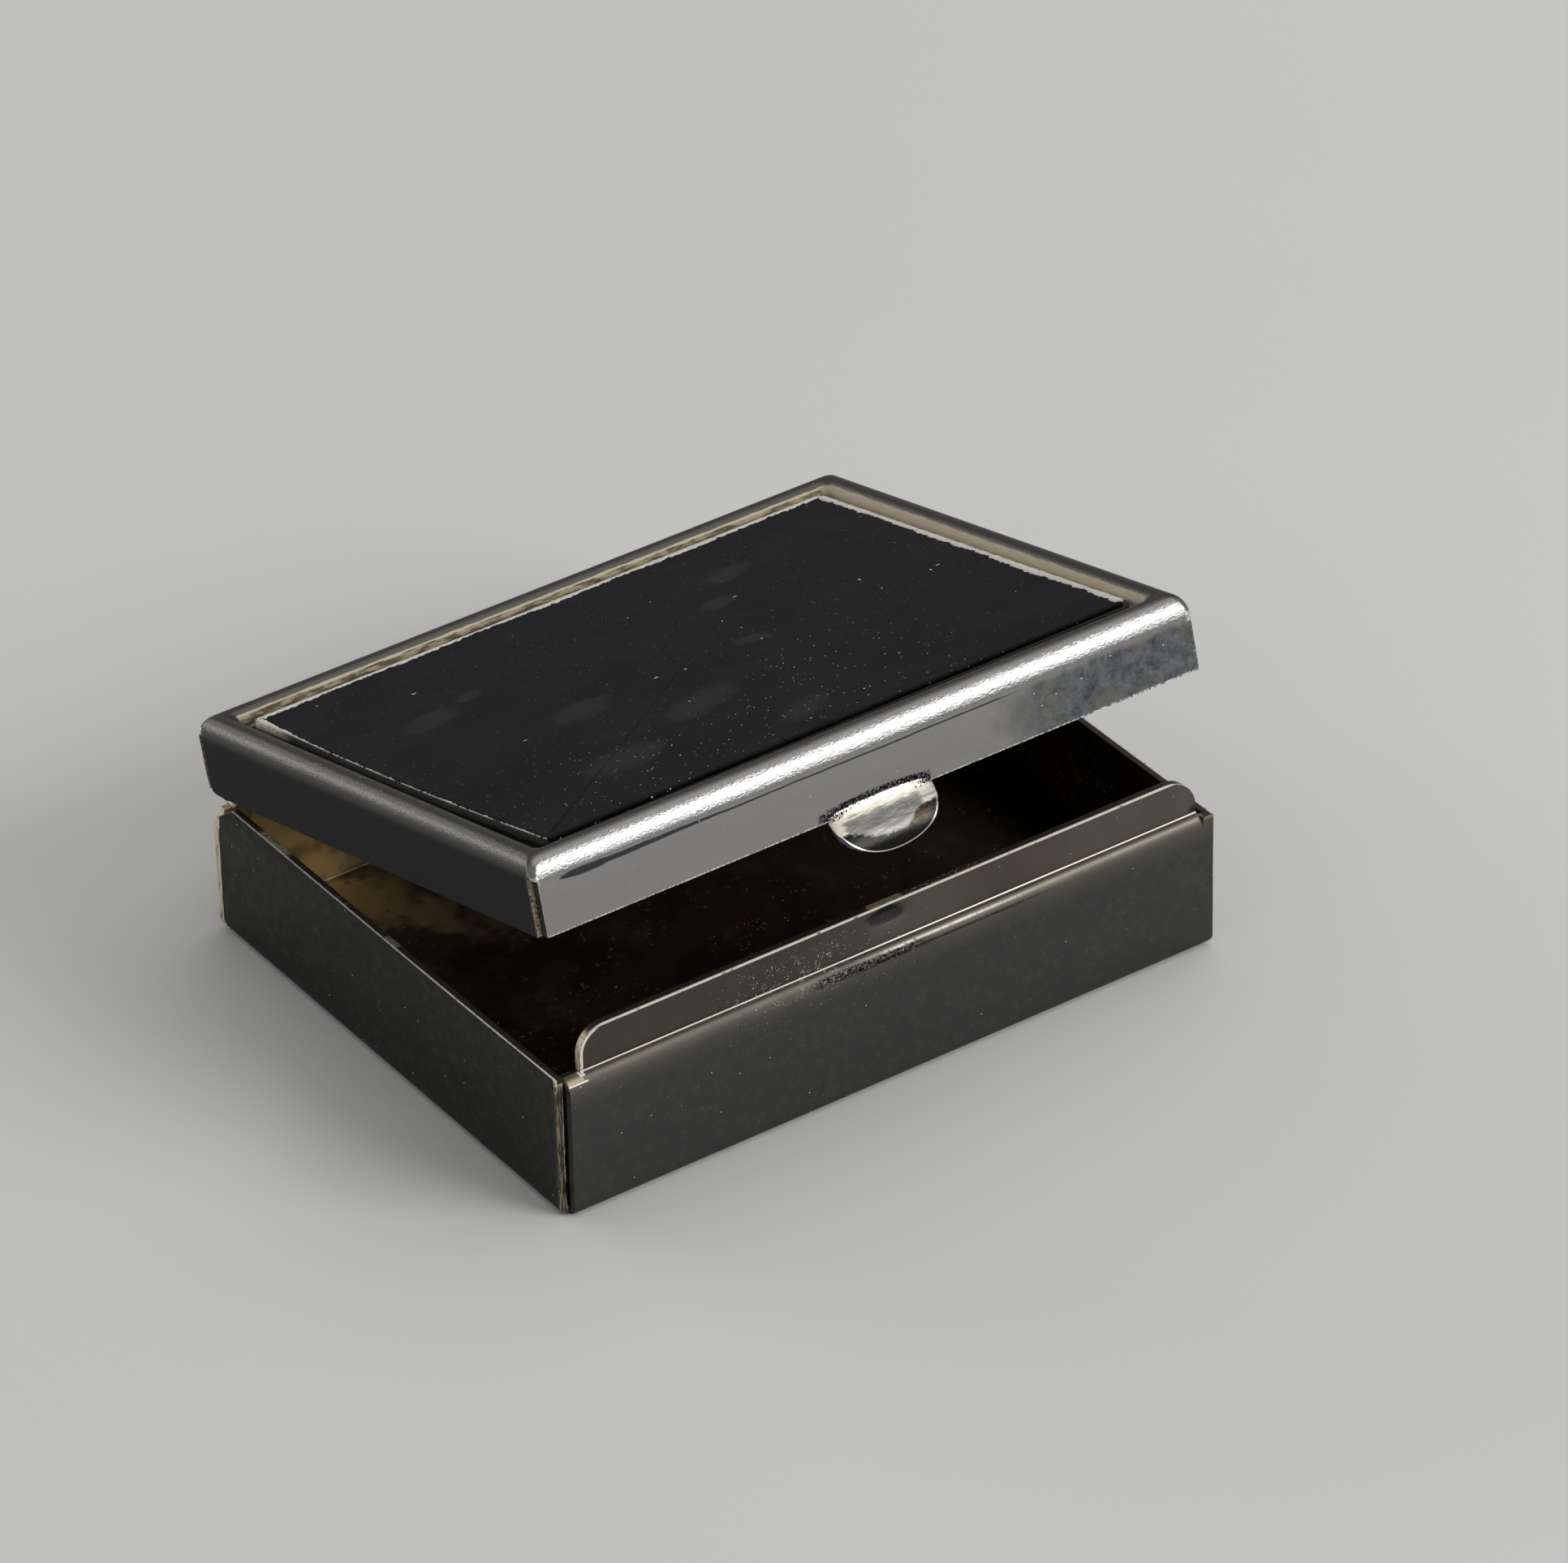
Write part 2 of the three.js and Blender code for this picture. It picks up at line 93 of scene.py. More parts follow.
class Value:
    """A node's output; an expression on it adds the Math nodes it needs."""

    __add__, __radd__ = _operator("ADD"), _operator("ADD", reflected=True)
    __sub__, __rsub__ = _operator("SUBTRACT"), _operator("SUBTRACT", reflected=True)
    __mul__, __rmul__ = _operator("MULTIPLY"), _operator("MULTIPLY", reflected=True)
    __truediv__ = _operator("DIVIDE")
    most, least = _operator("MAXIMUM"), _operator("MINIMUM")

    def __init__(self, recipe: "Recipe", socket: bpy.types.NodeSocket) -> None:
        """Keeps the recipe and the socket."""
        self.recipe = recipe
        self.socket = socket

    def maths(self, operation: str, *terms: Term) -> "Value":
        """Adds a Math node over the terms."""
        return self.recipe.node("ShaderNodeMath", {"operation": operation}, dict(enumerate(terms)))

    def __abs__(self) -> "Value":
        """Size without sign."""
        return self.maths("ABSOLUTE", self)

    def rise(self, low: float, high: float) -> "Value":
        """Smooth step from 0 at low to 1 at high."""
        settings = {"interpolation_type": "SMOOTHSTEP"}
        return self.recipe.node("ShaderNodeMapRange", settings, {0: self, 1: low, 2: high})

    def fall(self, low: float, high: float) -> "Value":
        """Smooth step from 1 at low to 0 at high."""
        return 1 - self.rise(low, high)

    def band(self, middle: float, half: float, soft: float) -> "Value":
        """1 within half of the middle, falling to 0 over soft."""
        return abs(self - middle).fall(half, half + soft)


class Recipe:
    """A material being mixed from nodes at coordinates in millimetres."""

    def __init__(self, name: str, on_lid: bool = False) -> None:
        """Starts a node tree with its coordinates.

        Args:
            name: the material's name.
            on_lid: turns the coordinates back to where the closed lid would be, with the
                skirt's lower edge at height zero.
        """
        self.material = bpy.data.materials.new(name)
        self.material.use_nodes = True
        self.tree = self.material.node_tree
        self.tree.nodes.clear()
        turn, shift = 0.0, Vector((0, 0, 0))
        if on_lid:
            turn, line = OPEN_ANGLE, Vector(HINGE_LINE)
            shift = line - Matrix.Rotation(turn, 3, "X") @ line - Vector((0, 0, LID_BOTTOM))
        self.at = self.node("ShaderNodeMapping", {"vector_type": "POINT"}, {
            "Vector": self.node("ShaderNodeTexCoord", output="Object"),
            "Location": shift, "Rotation": (turn, 0, 0), "Scale": (1 / MM,) * 3,
        })
        self.axes = self.split(self.at)

    def node(
        self, kind: str, settings: Optional[dict] = None, inputs: Optional[dict] = None,
        output: Union[int, str] = 0,
    ) -> Value:
        """Adds a node.

        Args:
            kind: the node's type.
            settings: its own settings, set first.
            inputs: values or links of its sockets, by name or number.
            output: the output that is handed back.

        Returns:
            The chosen output.
        """
        made = self.tree.nodes.new(kind)
        for key, value in (settings or {}).items():
            setattr(made, key, value)
        for key, value in (inputs or {}).items():
            socket = made.inputs[key]
            if isinstance(value, Value):
                self.tree.links.new(value.socket, socket)
            elif socket.type == "RGBA":
                socket.default_value = (*value[:3], 1.0)
            else:
                socket.default_value = value
        return Value(self, made.outputs[output])

    def split(self, vector: Value) -> List[Value]:
        """The three numbers of a vector or colour."""
        first = self.node("ShaderNodeSeparateXYZ", inputs={0: vector})
        return [Value(self, socket) for socket in first.socket.node.outputs]

    def stretched(self, *scale: float) -> Value:
        """Coordinates multiplied axis by axis."""
        settings = {"operation": "MULTIPLY"}
        return self.node("ShaderNodeVectorMath", settings, {0: self.at, 1: scale})

    def shifted(self, *offset: float) -> Value:
        """Coordinates moved by an offset."""
        return self.node("ShaderNodeVectorMath", {"operation": "ADD"}, {0: self.at, 1: offset})

    def noise(
        self, scale: float, detail: float = 2.0, rough: float = 0.5, at: Optional[Value] = None,
    ) -> Value:
        """Soft noise around one half."""
        inputs = {"Vector": at or self.at, "Scale": scale, "Detail": detail, "Roughness": rough}
        return self.node("ShaderNodeTexNoise", None, inputs)

    def cells(self, scale: float, at: Optional[Value]) -> Tuple[Value, List[Value]]:
        """Distance to the nearest of scattered points, and its three random numbers."""
        inputs = {"Vector": at or self.at, "Scale": scale}
        near = self.node("ShaderNodeTexVoronoi", {"feature": "F1"}, inputs)
        return near, self.split(Value(self, near.socket.node.outputs["Color"]))

    def specks(self, scale: float, size: float, share: float, at: Optional[Value] = None) -> Value:
        """Scattered round dots, each in its own cell.

        Args:
            scale: cells per millimetre.
            size: largest dot radius as a share of a cell.
            share: share of the cells that hold a dot.
            at: other coordinates than the recipe's.

        Returns:
            1 inside a dot and 0 outside.
        """
        near, (chance, spread, _) = self.cells(scale, at)
        radius = size * (0.25 + 0.75 * spread)
        return (radius - near).rise(0.0, size * 0.3) * chance.fall(share, share + 0.01)

    def hairs(self, scale: float, width: float, share: float, at: Optional[Value] = None) -> Value:
        """Short curled fibres: thin level lines of a noise, kept only in scattered cells.

        Args:
            scale: how tightly the lines curl, per millimetre.
            width: half width of a line in noise units.
            share: share of the cells that keep their lines.
            at: other coordinates than the recipe's.

        Returns:
            1 on a fibre and 0 off it.
        """
        line = abs(self.noise(scale, 1.0, at=at) - 0.5).fall(width * 0.5, width)
        near, (chance, _, _) = self.cells(scale * 0.7, at)
        return line * near.fall(0.35, 0.5) * chance.fall(share, share + 0.02)

    def blend(self, share: Term, first: Entry, second: Entry) -> Value:
        """Colour between two colours."""
        settings = {"data_type": "RGBA", "clamp_factor": True}
        return self.node("ShaderNodeMix", settings, {0: share, 6: first, 7: second}, output=2)

    def layers(self, colour: Entry, *coats: Tuple[Term, Entry]) -> Value:
        """Lays coats on a colour, each given as its share and its own colour."""
        for share, coat in coats:
            colour = self.blend(share, colour, coat)
        return colour

    def relief(self, *steps: Tuple[Value, float]) -> Value:
        """Normal of heights laid on each other, each with its unit in millimetres."""
        under: Dict[str, Value] = {}
        for height, depth in steps:
            inputs = {"Height": height, "Distance": depth * MM, "Strength": 1.0, **under}
            under = {"Normal": self.node("ShaderNodeBump", None, inputs)}
        return under["Normal"]

    def close(self, sockets: Dict[str, Entry]) -> bpy.types.Material:
        """Ends the recipe in one principled shader with these sockets."""
        shader = self.node("ShaderNodeBsdfPrincipled", None, sockets)
        out = self.tree.nodes.new("ShaderNodeOutputMaterial")
        self.tree.links.new(shader.socket, out.inputs["Surface"])
        return self.material


# ------------------------------------------------------------------- finishes

DUST: Colour = (0.72, 0.69, 0.63)
DIM_MIRROR: Colour = (0.7, 0.7, 0.7)


@dataclass(frozen=True)
class SatinPlate:
    """Dull nickel plate of the base, dusty near the middle, laid darker on the side and back walls
    as painted shade, with a painted reflection glowing under the shoulder and painted highlights
    along the crease.
    """

    name: str = "satin_plate"
    front: Colour = (0.074, 0.076, 0.077)
    # Side and back walls: the same plate laid darker than the front, as painted shade.
    side: Colour = (0.034, 0.035, 0.036)
    # Painted reflection laid on the front wall under the shoulder.
    painted_glow: Colour = (0.165, 0.150, 0.122)
    haze: Colour = (0.15, 0.145, 0.12)
    brown: Colour = (0.11, 0.095, 0.076)
    tan: Colour = (0.17, 0.157, 0.134)
    shade: Colour = (0.066, 0.056, 0.043)
    bared: Colour = (0.40, 0.34, 0.24)
    scuffed: Colour = (0.014, 0.012, 0.010)
    # Bright plate where the plating wears, also laid on as painted highlights.
    rubbed_and_highlight: Colour = (0.95, 0.90, 0.79)

    def material(self) -> bpy.types.Material:
        """Mixes the finish."""
        mix = Recipe(self.name)
        x, y, z = mix.axes
        mottle = mix.noise(1.6, 5.0, 0.6)
        grit = mix.noise(8.0, 3.0, 0.7)
        front = y.fall(-20.15, -20.0)
        # Painted reflection: lighter towards the shoulder on the front wall.
        painted_glow_share = z.rise(7.9, 10.4) * front
        lip = z.rise(10.6, 10.7) * front
        warm = mix.noise(0.16, 3.0, at=mix.stretched(1.0, 1.0, 0.5)).rise(0.25, 0.8)
        tone = mix.blend(warm, self.brown, self.tan)
        tone = mix.blend(x.fall(-8.0, 4.0) * 0.75, tone, self.shade)
        right = x.rise(25.2, 25.3) * z.rise(10.2, 10.3)
        ends = (x.fall(-24.1, -24.0) * z.rise(10.18, 10.24)).most(right) * front
        scuff, wear_and_highlights, dust = self._scuff(mix), self._wear_and_highlights(mix, front), self._dust(mix, front)
        colour = mix.layers(
            # Painted shade: away from the front wall the plate is laid darker.
            mix.blend(front, self.side, self.front),
            (grit.rise(0.35, 0.75) * 0.3 + mottle.rise(0.4, 0.8) * 0.25, self.haze),
            (painted_glow_share * (0.15 + mix.noise(0.22, 3.0)), self.painted_glow),
            (lip * (0.55 + 0.4 * mottle), tone),
            (ends * (0.5 + 0.5 * grit), self.bared),
            (scuff, self.scuffed), (wear_and_highlights, self.rubbed_and_highlight), (dust, DUST),
        )
        dull = z.rise(9.2, 10.1) * z.fall(10.6, 10.65) * (0.13 + 0.12 * x.fall(-5.0, 1.0))
        return mix.close({
            "Base Color": colour,
            "Metallic": 1 - 0.9 * dust.most(0.7 * wear_and_highlights),
            "Roughness": 0.27 + 0.14 * mottle + 0.3 * dust + 0.2 * scuff - 0.08 * lip + dull,
            "Specular Tint": DIM_MIRROR,
            "Normal": mix.relief(
                (mix.noise(0.35, 1.0), 0.02), (mix.noise(5.0, 4.0, 0.6), 0.0045), (dust, 0.02)),
        })

    @staticmethod
    def _scuff(mix: Recipe) -> Value:
        """Dark scuffs under the shoulder, around the middle, and a dark line that runs on from them
        to the right.
        """
        x, _, z = mix.axes
        rough = mix.noise(4.6, 5.0, 0.7, mix.stretched(1.0, 1.0, 1.6))
        patch = z.band(9.95, 0.14, 0.3) * x.band(-1.6, 3.2, 2.4) * rough.rise(0.44, 0.53)
        line = z.band(9.85, 0.03, 0.10) * x.rise(-4.0, 0.0) * x.fall(8.0, 16.0)
        return patch.most(line * rough.rise(0.3, 0.5) * 0.8)

    @staticmethod
    def _wear_and_highlights(mix: Recipe, front: Value) -> Value:
        """Painted highlights along the crease and in a second band under it, and plate bared bright
        along the lip's edges and the walls' ends.

        The lip's rounded left corner is a quarter circle of radius 1.9; its outermost part is
        bright.
        """
        x, y, z = mix.axes
        ragged = mix.noise(3.0, 3.0)
        # Painted highlight along the crease.
        crease = z.band(10.58, 0.02, 0.03) * front * ragged.rise(0.2, 0.4)
        # Painted highlight in a second band under the crease, just right of the middle.
        second = z.band(10.28, 0.02, 0.08) * front * x.rise(-3.0, 1.0) * x.fall(4.0, 14.0)
        second = second * ragged.rise(0.3, 0.5) * 0.35
        edge = z.rise(13.42, 13.47) * ragged.rise(0.25, 0.4)
        crumbs = mix.noise(5.0, 4.0, 0.7).rise(0.5, 0.6)
        corner = y.fall(-20.24, -20.14) * x.fall(-25.97, -25.93) * crumbs
        corner = corner * mix.noise(0.8, 2.0).rise(0.47, 0.6)
        tip = x.band(-24.05, 0.14, 0.10) * z.band(10.54, 0.06, 0.08) * front
        u, v = (x + 22.1).least(0), (z - 11.7).most(0)
        end = (u * u + v * v).rise(2.75, 2.95) * x.fall(-22.9, -22.3) * z.rise(10.64, 10.7)
        end = end * ragged.rise(0.3, 0.42)
        ledge = z.band(10.14, 0.03, 0.04) * x.fall(-23.9, -23.7) * y.fall(-20.6, -20.5)
        ledge = ledge * ragged.rise(0.3, 0.45)
        return crease.most(second).most(edge).most(corner).most(tip).most(ledge).most(end) * 0.92

    @staticmethod
    def _dust(mix: Recipe, front: Value) -> Value:
        """Dust dots everywhere, thicker and with fibres left of the middle of the lip."""
        x, _, z = mix.axes
        sparse = mix.specks(1.3, 0.088, 0.22)
        fine = mix.specks(3.4, 0.17, 0.12) * mix.noise(0.3, 2.0).rise(0.40, 0.6)
        spot = x.band(-7.6, 2.8, 2.6) * z.band(11.0, 0.8, 1.0) * front
        wide = x.band(-7.0, 5.0, 5.0) * z.band(10.6, 1.6, 2.0) * front
        thick = mix.specks(2.8, 0.24, 0.40, mix.shifted(7.0, 3.0, 1.0)) * spot
        powder = mix.specks(5.2, 0.22, 0.36, mix.shifted(2.0, 6.0, 5.0)) * wide * 0.6
        curl = mix.hairs(1.5, 0.011, 0.8) * spot
        bend = mix.hairs(2.3, 0.016, 0.7, mix.shifted(13.0, 5.0, 2.0)) * spot
        lip = mix.specks(2.3, 0.20, 0.14, mix.shifted(1.0, 9.0, 4.0)) * z.rise(10.7, 10.9)
        right = mix.specks(1.7, 0.22, 0.3, mix.shifted(3.0, 1.0, 8.0)) * x.band(18.0, 3.0, 3.0)
        right = right * z.rise(10.9, 11.2) * mix.noise(1.0, 3.0).rise(0.45, 0.6)
        loose = sparse.most(fine * 0.6).most(powder).most(lip * 0.7).most(right * 0.8)
        return loose.most(thick * 0.9).most(curl.most(bend) * 0.8)


@dataclass(frozen=True)
class BrightPlate:
    """Plate of the lid: polished in front and satin on the other sides, which are laid dark as
    painted shade.
    """

    name: str = "bright_plate"
    front: Colour = (0.31, 0.303, 0.295)
    clouded: Colour = (0.26, 0.258, 0.255)
    # Back, left and right: the same plate laid dark as painted shade, less dark on the bead.
    side: Colour = (0.024, 0.0245, 0.025)
    bead: Colour = (0.10, 0.097, 0.090)
    # A painted dark reflection under the front bead.
    painted_dark_reflection: Colour = (0.022, 0.024, 0.030)
    rubbed_and_highlight: Colour = (0.90, 0.90, 0.88)

    def material(self) -> bpy.types.Material:
        """Mixes the finish."""
        mix = Recipe(self.name, on_lid=True)
        x, y, z = mix.axes
        front = y.fall(-20.6, -20.2)
        fine = mix.noise(5.5, 4.0, 0.6)
        # Painted shade: away from the front, skirts are laid dark and beads less so, front bead's
        # crest included.
        colour = mix.blend(z.rise(3.8, 4.6) * (0.75 + 0.5 * fine), self.side, self.bead)
        colour, film = self._inner_slopes(mix, colour)
        plate = mix.blend(fine.rise(0.3, 0.7) * 0.35, self.front, self.clouded)
        colour, cloud = self._cloud(mix, front, mix.blend(front, colour, plate))
        # Painted dark reflection: a line under the front bead.
        line = self._painted_reflection_line(mix) * front
        colour = mix.blend(line * (0.75 + 0.25 * fine), colour, self.painted_dark_reflection)
        colour, tab, deep = self._tab(mix, colour)
        # A painted glint at the back left corner.
        dot = x.fall(-25.85, -25.65) * y.rise(20.3, 20.55) * z.band(4.5, 0.18, 0.15)
        wear_and_highlights = (self._wear_and_highlights(mix) * front * (1 - tab)).most(dot)
        dust = mix.specks(1.2, 0.07, 0.16).most(mix.specks(2.9, 0.15, 0.07) * 0.8)
        bead = z.rise(3.5, 4.1) * (1 - tab)
        hammer = mix.noise(2.4, 3.0, 0.6, mix.stretched(0.8, 1.6, 1.6))
        peck = mix.noise(5.5, 3.0, 0.6, mix.stretched(0.7, 1.5, 1.5))
        dull = 0.06 * bead + 0.10 * (1 - front) + 0.12 * cloud
        rough = 0.14 + 0.08 * fine + dull + 0.3 * dust + 0.3 * film
        return mix.close({
            "Base Color": mix.layers(colour, (wear_and_highlights * 0.9, self.rubbed_and_highlight), (dust, DUST)),
            "Metallic": 1 - 0.9 * dust.most(film),
            "Roughness": rough + 0.24 * tab * (1 - 0.5 * deep),
            "Specular Tint": DIM_MIRROR,
            "Normal": mix.relief(
                (mix.noise(0.25, 1.0), 0.02), (hammer * (0.2 + bead + 1.2 * tab), 0.014),
                (peck * bead, 0.028), (dust + 0.5 * fine * cloud, 0.015)),
        })

    @staticmethod
    def _inner_slopes(mix: Recipe, colour: Value) -> Tuple[Value, Value]:
        """Colours the bead's inner slopes along the back and right.

        Old glue covers the foot: tan on the right, brown with a tan line above it at the back.
        The tan on the right and the tan line are partly glue and partly painted highlight.
        It thins out upwards in lengthwise lines.

        Returns:
            The colour, and the share that is covered.
        """
        x, y, z = mix.axes
        along_x = mix.noise(1.8, 4.0, 0.6, mix.stretched(0.4, 2.2, 2.2))
        along_y = mix.noise(1.8, 4.0, 0.6, mix.stretched(2.2, 0.4, 2.2))
        back = y.rise(18.5, 18.7) * y.fall(19.7, 20.0) * x.rise(-23.9, -23.6) * x.fall(24.1, 24.4)
        right = x.rise(23.5, 23.7) * x.fall(24.7, 25.0) * y.rise(-18.7, -17.9) * y.fall(19.0, 19.4)
        level_x = z + 0.18 * (along_x - 0.5)
        level_y = z + 0.14 * (along_y - 0.5)
        brown = mix.blend(along_x.rise(0.42, 0.6), (0.085, 0.060, 0.032), (0.33, 0.27, 0.18))
        # The tan line is partly glue and partly painted highlight.
        rear = mix.blend(level_x.band(5.05, 0.04, 0.04), brown, (0.50, 0.44, 0.34))
        # The tan on the right is partly glue and partly painted highlight.
        side = mix.blend(along_y.rise(0.3, 0.7) * 0.5, (0.47, 0.40, 0.30), (0.36, 0.30, 0.21))
        cover_back = back * level_x.fall(5.08, 5.16)
        cover_right = right * level_y.fall(5.12, 5.20)
        shade = ((back + right) * z.fall(5.0, 5.4), (0.10, 0.092, 0.078))
        colour = mix.layers(colour, shade, (cover_back, rear), (cover_right, side))
        return colour, cover_back.most(cover_right)

    @staticmethod
    def _cloud(mix: Recipe, front: Value, colour: Value) -> Tuple[Value, Value]:
        """Clouds the right end of the front skirt with bluish, mottled tarnish and bright crumbs.

        Returns:
            The colour, and the share that is clouded.
        """
        x, _, z = mix.axes
        soft = mix.noise(0.5, 3.0)
        blotch = mix.noise(1.5, 7.0, 0.72)
        edge = x + 9 * (soft - 0.5) + 3 * (blotch - 0.5)
        share = edge.rise(8.5, 14.5) * front * (z + 0.8 * (blotch - 0.5)).fall(3.2, 3.9)
        deep = mix.blend(blotch.rise(0.3, 0.68), (0.068, 0.077, 0.091), (0.20, 0.21, 0.212))
        deep = mix.blend(soft.rise(0.45, 0.65) * 0.5, deep, (0.20, 0.19, 0.15))
        crumbs = mix.specks(3.0, 0.22, 0.20, mix.stretched(0.8, 1.0, 1.3))
        crumbs = crumbs * mix.noise(0.8, 3.0).rise(0.5, 0.6) * share
        return mix.layers(colour, (share, deep), (crumbs, (0.85, 0.86, 0.84))), share

    @staticmethod
    def _painted_reflection_line(mix: Recipe) -> Value:
        """A painted dark reflection under the front bead: a line that starts with a rounded end at
        the left.

        The end is an ellipse, and the line narrows and breaks up as it goes right.
        """
        x, _, z = mix.axes
        waver = mix.noise(0.5, 2.0) - 0.5
        height = z - 3.52 - 0.15 * waver
        u, v = (x + 21.9) / 2.2, height / 0.27
        blob = (u * u + v * v).fall(0.75, 1.05)
        half = 0.07 + 0.12 * x.fall(-21.0, -8.0)
        tail = (half - abs(height)).rise(-0.03, 0.05) * x.rise(-22.0, -21.0) * x.fall(9.0, 13.0)
        return blob.most(tail * mix.noise(4.0, 3.0).rise(0.15, 0.35))

    @staticmethod
    def _tab(mix: Recipe, colour: Value) -> Tuple[Value, Value, Value]:
        """Colours the thumb tab: a cream painted highlight above, grey in the middle, a painted
        dark reflection at the lower right.

        u is the share of the half width and drop the share of the depth. The dark part starts
        a little over half the drop and climbs at both ends, with a brown stain at its upper
        right. Painted shade with a ragged upper edge covers the bend along an arc, and a painted
        highlight runs along the tab's outer edge.

        Returns:
            The colour, 1 on the tab, and 1 on its painted dark part.
        """
        x, y, z = mix.axes
        tab = y.fall(-21.12, -21.0)
        u, drop = (x - 0.05) / 4.1, z / -2.85
        out = u * u + drop * drop
        streak = mix.noise(1.9, 5.0, 0.65, mix.stretched(0.35, 2.5, 2.5))
        stain = mix.noise(1.9, 5.0, 0.65) - 0.5
        ragged = 0.30 * (streak - 0.5)
        grey = mix.blend(streak.rise(0.32, 0.66), (0.13, 0.127, 0.118), (0.25, 0.245, 0.225))
        # Painted highlight: the cream band along the top, the left end and the patch at the right.
        cream = mix.blend(streak.rise(0.25, 0.45), (0.26, 0.24, 0.19), (0.66, 0.63, 0.53))
        patch = u.rise(0.60, 0.72) * (drop + ragged).fall(0.27, 0.36) * 0.8
        top = (drop + 1.3 * ragged).fall(0.03, 0.12).most((u + ragged).fall(-0.86, -0.74))
        fold = (drop + 0.3 * ragged - 0.10 * u).band(0.11, 0.01, 0.02) * u.rise(0.2, 0.4)
        across, down = (u - 0.47) / 0.34, (drop - 0.46) / 0.17
        tint = (1 - across * across - down * down + 2.2 * stain).rise(0.0, 0.8)
        # Painted dark reflection at the lower right, tinted by a brown stain.
        deep = mix.blend(tint, (0.020, 0.0195, 0.0175), (0.042, 0.034, 0.023))
        low = drop - 0.57 + 0.26 * u.rise(0.2, 0.62) + 0.24 * u.fall(-0.85, -0.2)
        low = (low + 0.7 * ragged + 0.22 * stain).rise(-0.04, 0.04)
        # Painted highlight along the tab's outer edge.
        rim = out.band(0.945, 0.012, 0.025) * drop.rise(0.1, 0.3)
        rim = rim * (0.35 + 0.65 * u.fall(0.2, 0.8))
        face = mix.layers(
            grey, (top.most(patch) * (1 - 0.7 * fold), cream), (low, deep),
            (rim, (0.80, 0.79, 0.76)))
        lift = z / 0.62
        # Painted shade along the bend, with a ragged upper edge.
        shade_edge_noise = mix.noise(7.0, 4.0, 0.8, mix.stretched(1.0, 1.0, 0.6))
        weight = abs(1.3 * u * u + lift * lift - 1.75).fall(0.3, 1.4)
        bend_shade = (shade_edge_noise - 0.59 + 0.14 * weight).rise(-0.02, 0.02) * weight.rise(0.0, 0.1)
        bend_shade = bend_shade * z.rise(-0.1, 0.05) * y.fall(-20.9, -20.8)
        bend_shade = bend_shade * u.rise(-1.2, -1.1) * u.fall(0.97, 1.03)
        return mix.layers(colour, (tab, face), (bend_shade, (0.012, 0.011, 0.010))), tab, low

    @staticmethod
    def _wear_and_highlights(mix: Recipe) -> Value:
        """Painted glints in crumbs along the skirt's lower edge and in a spot at each end by the
        bead, and plate bared in crumbs at the skirt's ends.
        """
        x, _, z = mix.axes
        crumbs = mix.noise(6.5, 3.0, 0.65)
        grow = 0.03 + 0.03 * x.rise(12.0, 20.0)
        # Painted glints along the lower edge.
        low = (grow - abs(z - 0.03)).rise(-0.05, 0.0) * crumbs.rise(0.44, 0.54)
        ends = abs(x).rise(25.62, 25.85) * crumbs.rise(0.52, 0.6) * z.fall(3.4, 3.8)
        # A painted glint at each end, where the skirt meets the bead.
        spot = abs(x).rise(25.4, 25.6) * z.band(3.85, 0.25, 0.12) * crumbs.rise(0.4, 0.5)
        return low.most(ends).most(spot)


@dataclass(frozen=True)
class Lacquer:
    """Gold-brown lacquer inside, laid dark as painted shade and golden towards the back left as
    painted light, stained there, dusty on the floor.
    """

    name: str = "inside_lacquer"
    on_lid: bool = False
    # The lacquer laid dark as painted shade and golden as painted light.
    dark: Colour = (0.086, 0.064, 0.042)
    gold: Colour = (0.72, 0.57, 0.32)
    stained: Colour = (0.050, 0.044, 0.037)
    rust: Colour = (0.13, 0.050, 0.022)

    def material(self) -> bpy.types.Material:
        """Mixes the finish."""
        mix = Recipe(self.name, self.on_lid)
        x, y, _ = mix.axes
        pool = mix.noise(0.18, 4.0, 0.6)
        # Painted light: golden towards the back left corner, dark elsewhere as painted shade.
        corner = y.rise(4.0, 14.0) * x.fall(-20.0, -4.0)
        gold = (pool + 0.4 * corner).rise(0.5, 0.75) * (0.10 + 0.90 * corner)
        stain = mix.noise(0.16, 3.0, 0.6, mix.shifted(3.0, 1.0, 0.0))
        spot = y.fall(-10.0, 2.0) * x.fall(-14.0, -4.0)
        crowd = (mix.noise(0.25, 2.0) + 0.25 * spot).rise(0.46, 0.58)
        dust = mix.specks(2.8, 0.18, 0.42).most(mix.hairs(2.2, 0.014, 0.4) * 0.6) * crowd
        haze = mix.noise(1.3, 6.0, 0.75).rise(0.50, 0.72) * y.fall(-6.0, 6.0)
        dust = dust.most(haze * x.fall(-16.0, -8.0) * 0.16)
        colour = mix.layers(
            mix.blend(gold, self.dark, self.gold),
            (stain.rise(0.44, 0.60) * 0.85, self.stained),
            (mix.noise(0.7, 3.0).rise(0.6, 0.7) * 0.5, self.rust),
            (dust * 0.8, DUST),
        )
        return mix.close({
            "Base Color": colour,
            "Metallic": 0.85 - 0.8 * dust,
            "Roughness": 0.36 + 0.3 * pool,
            "Normal": mix.relief((mix.noise(1.2, 4.0), 0.03)),
        })


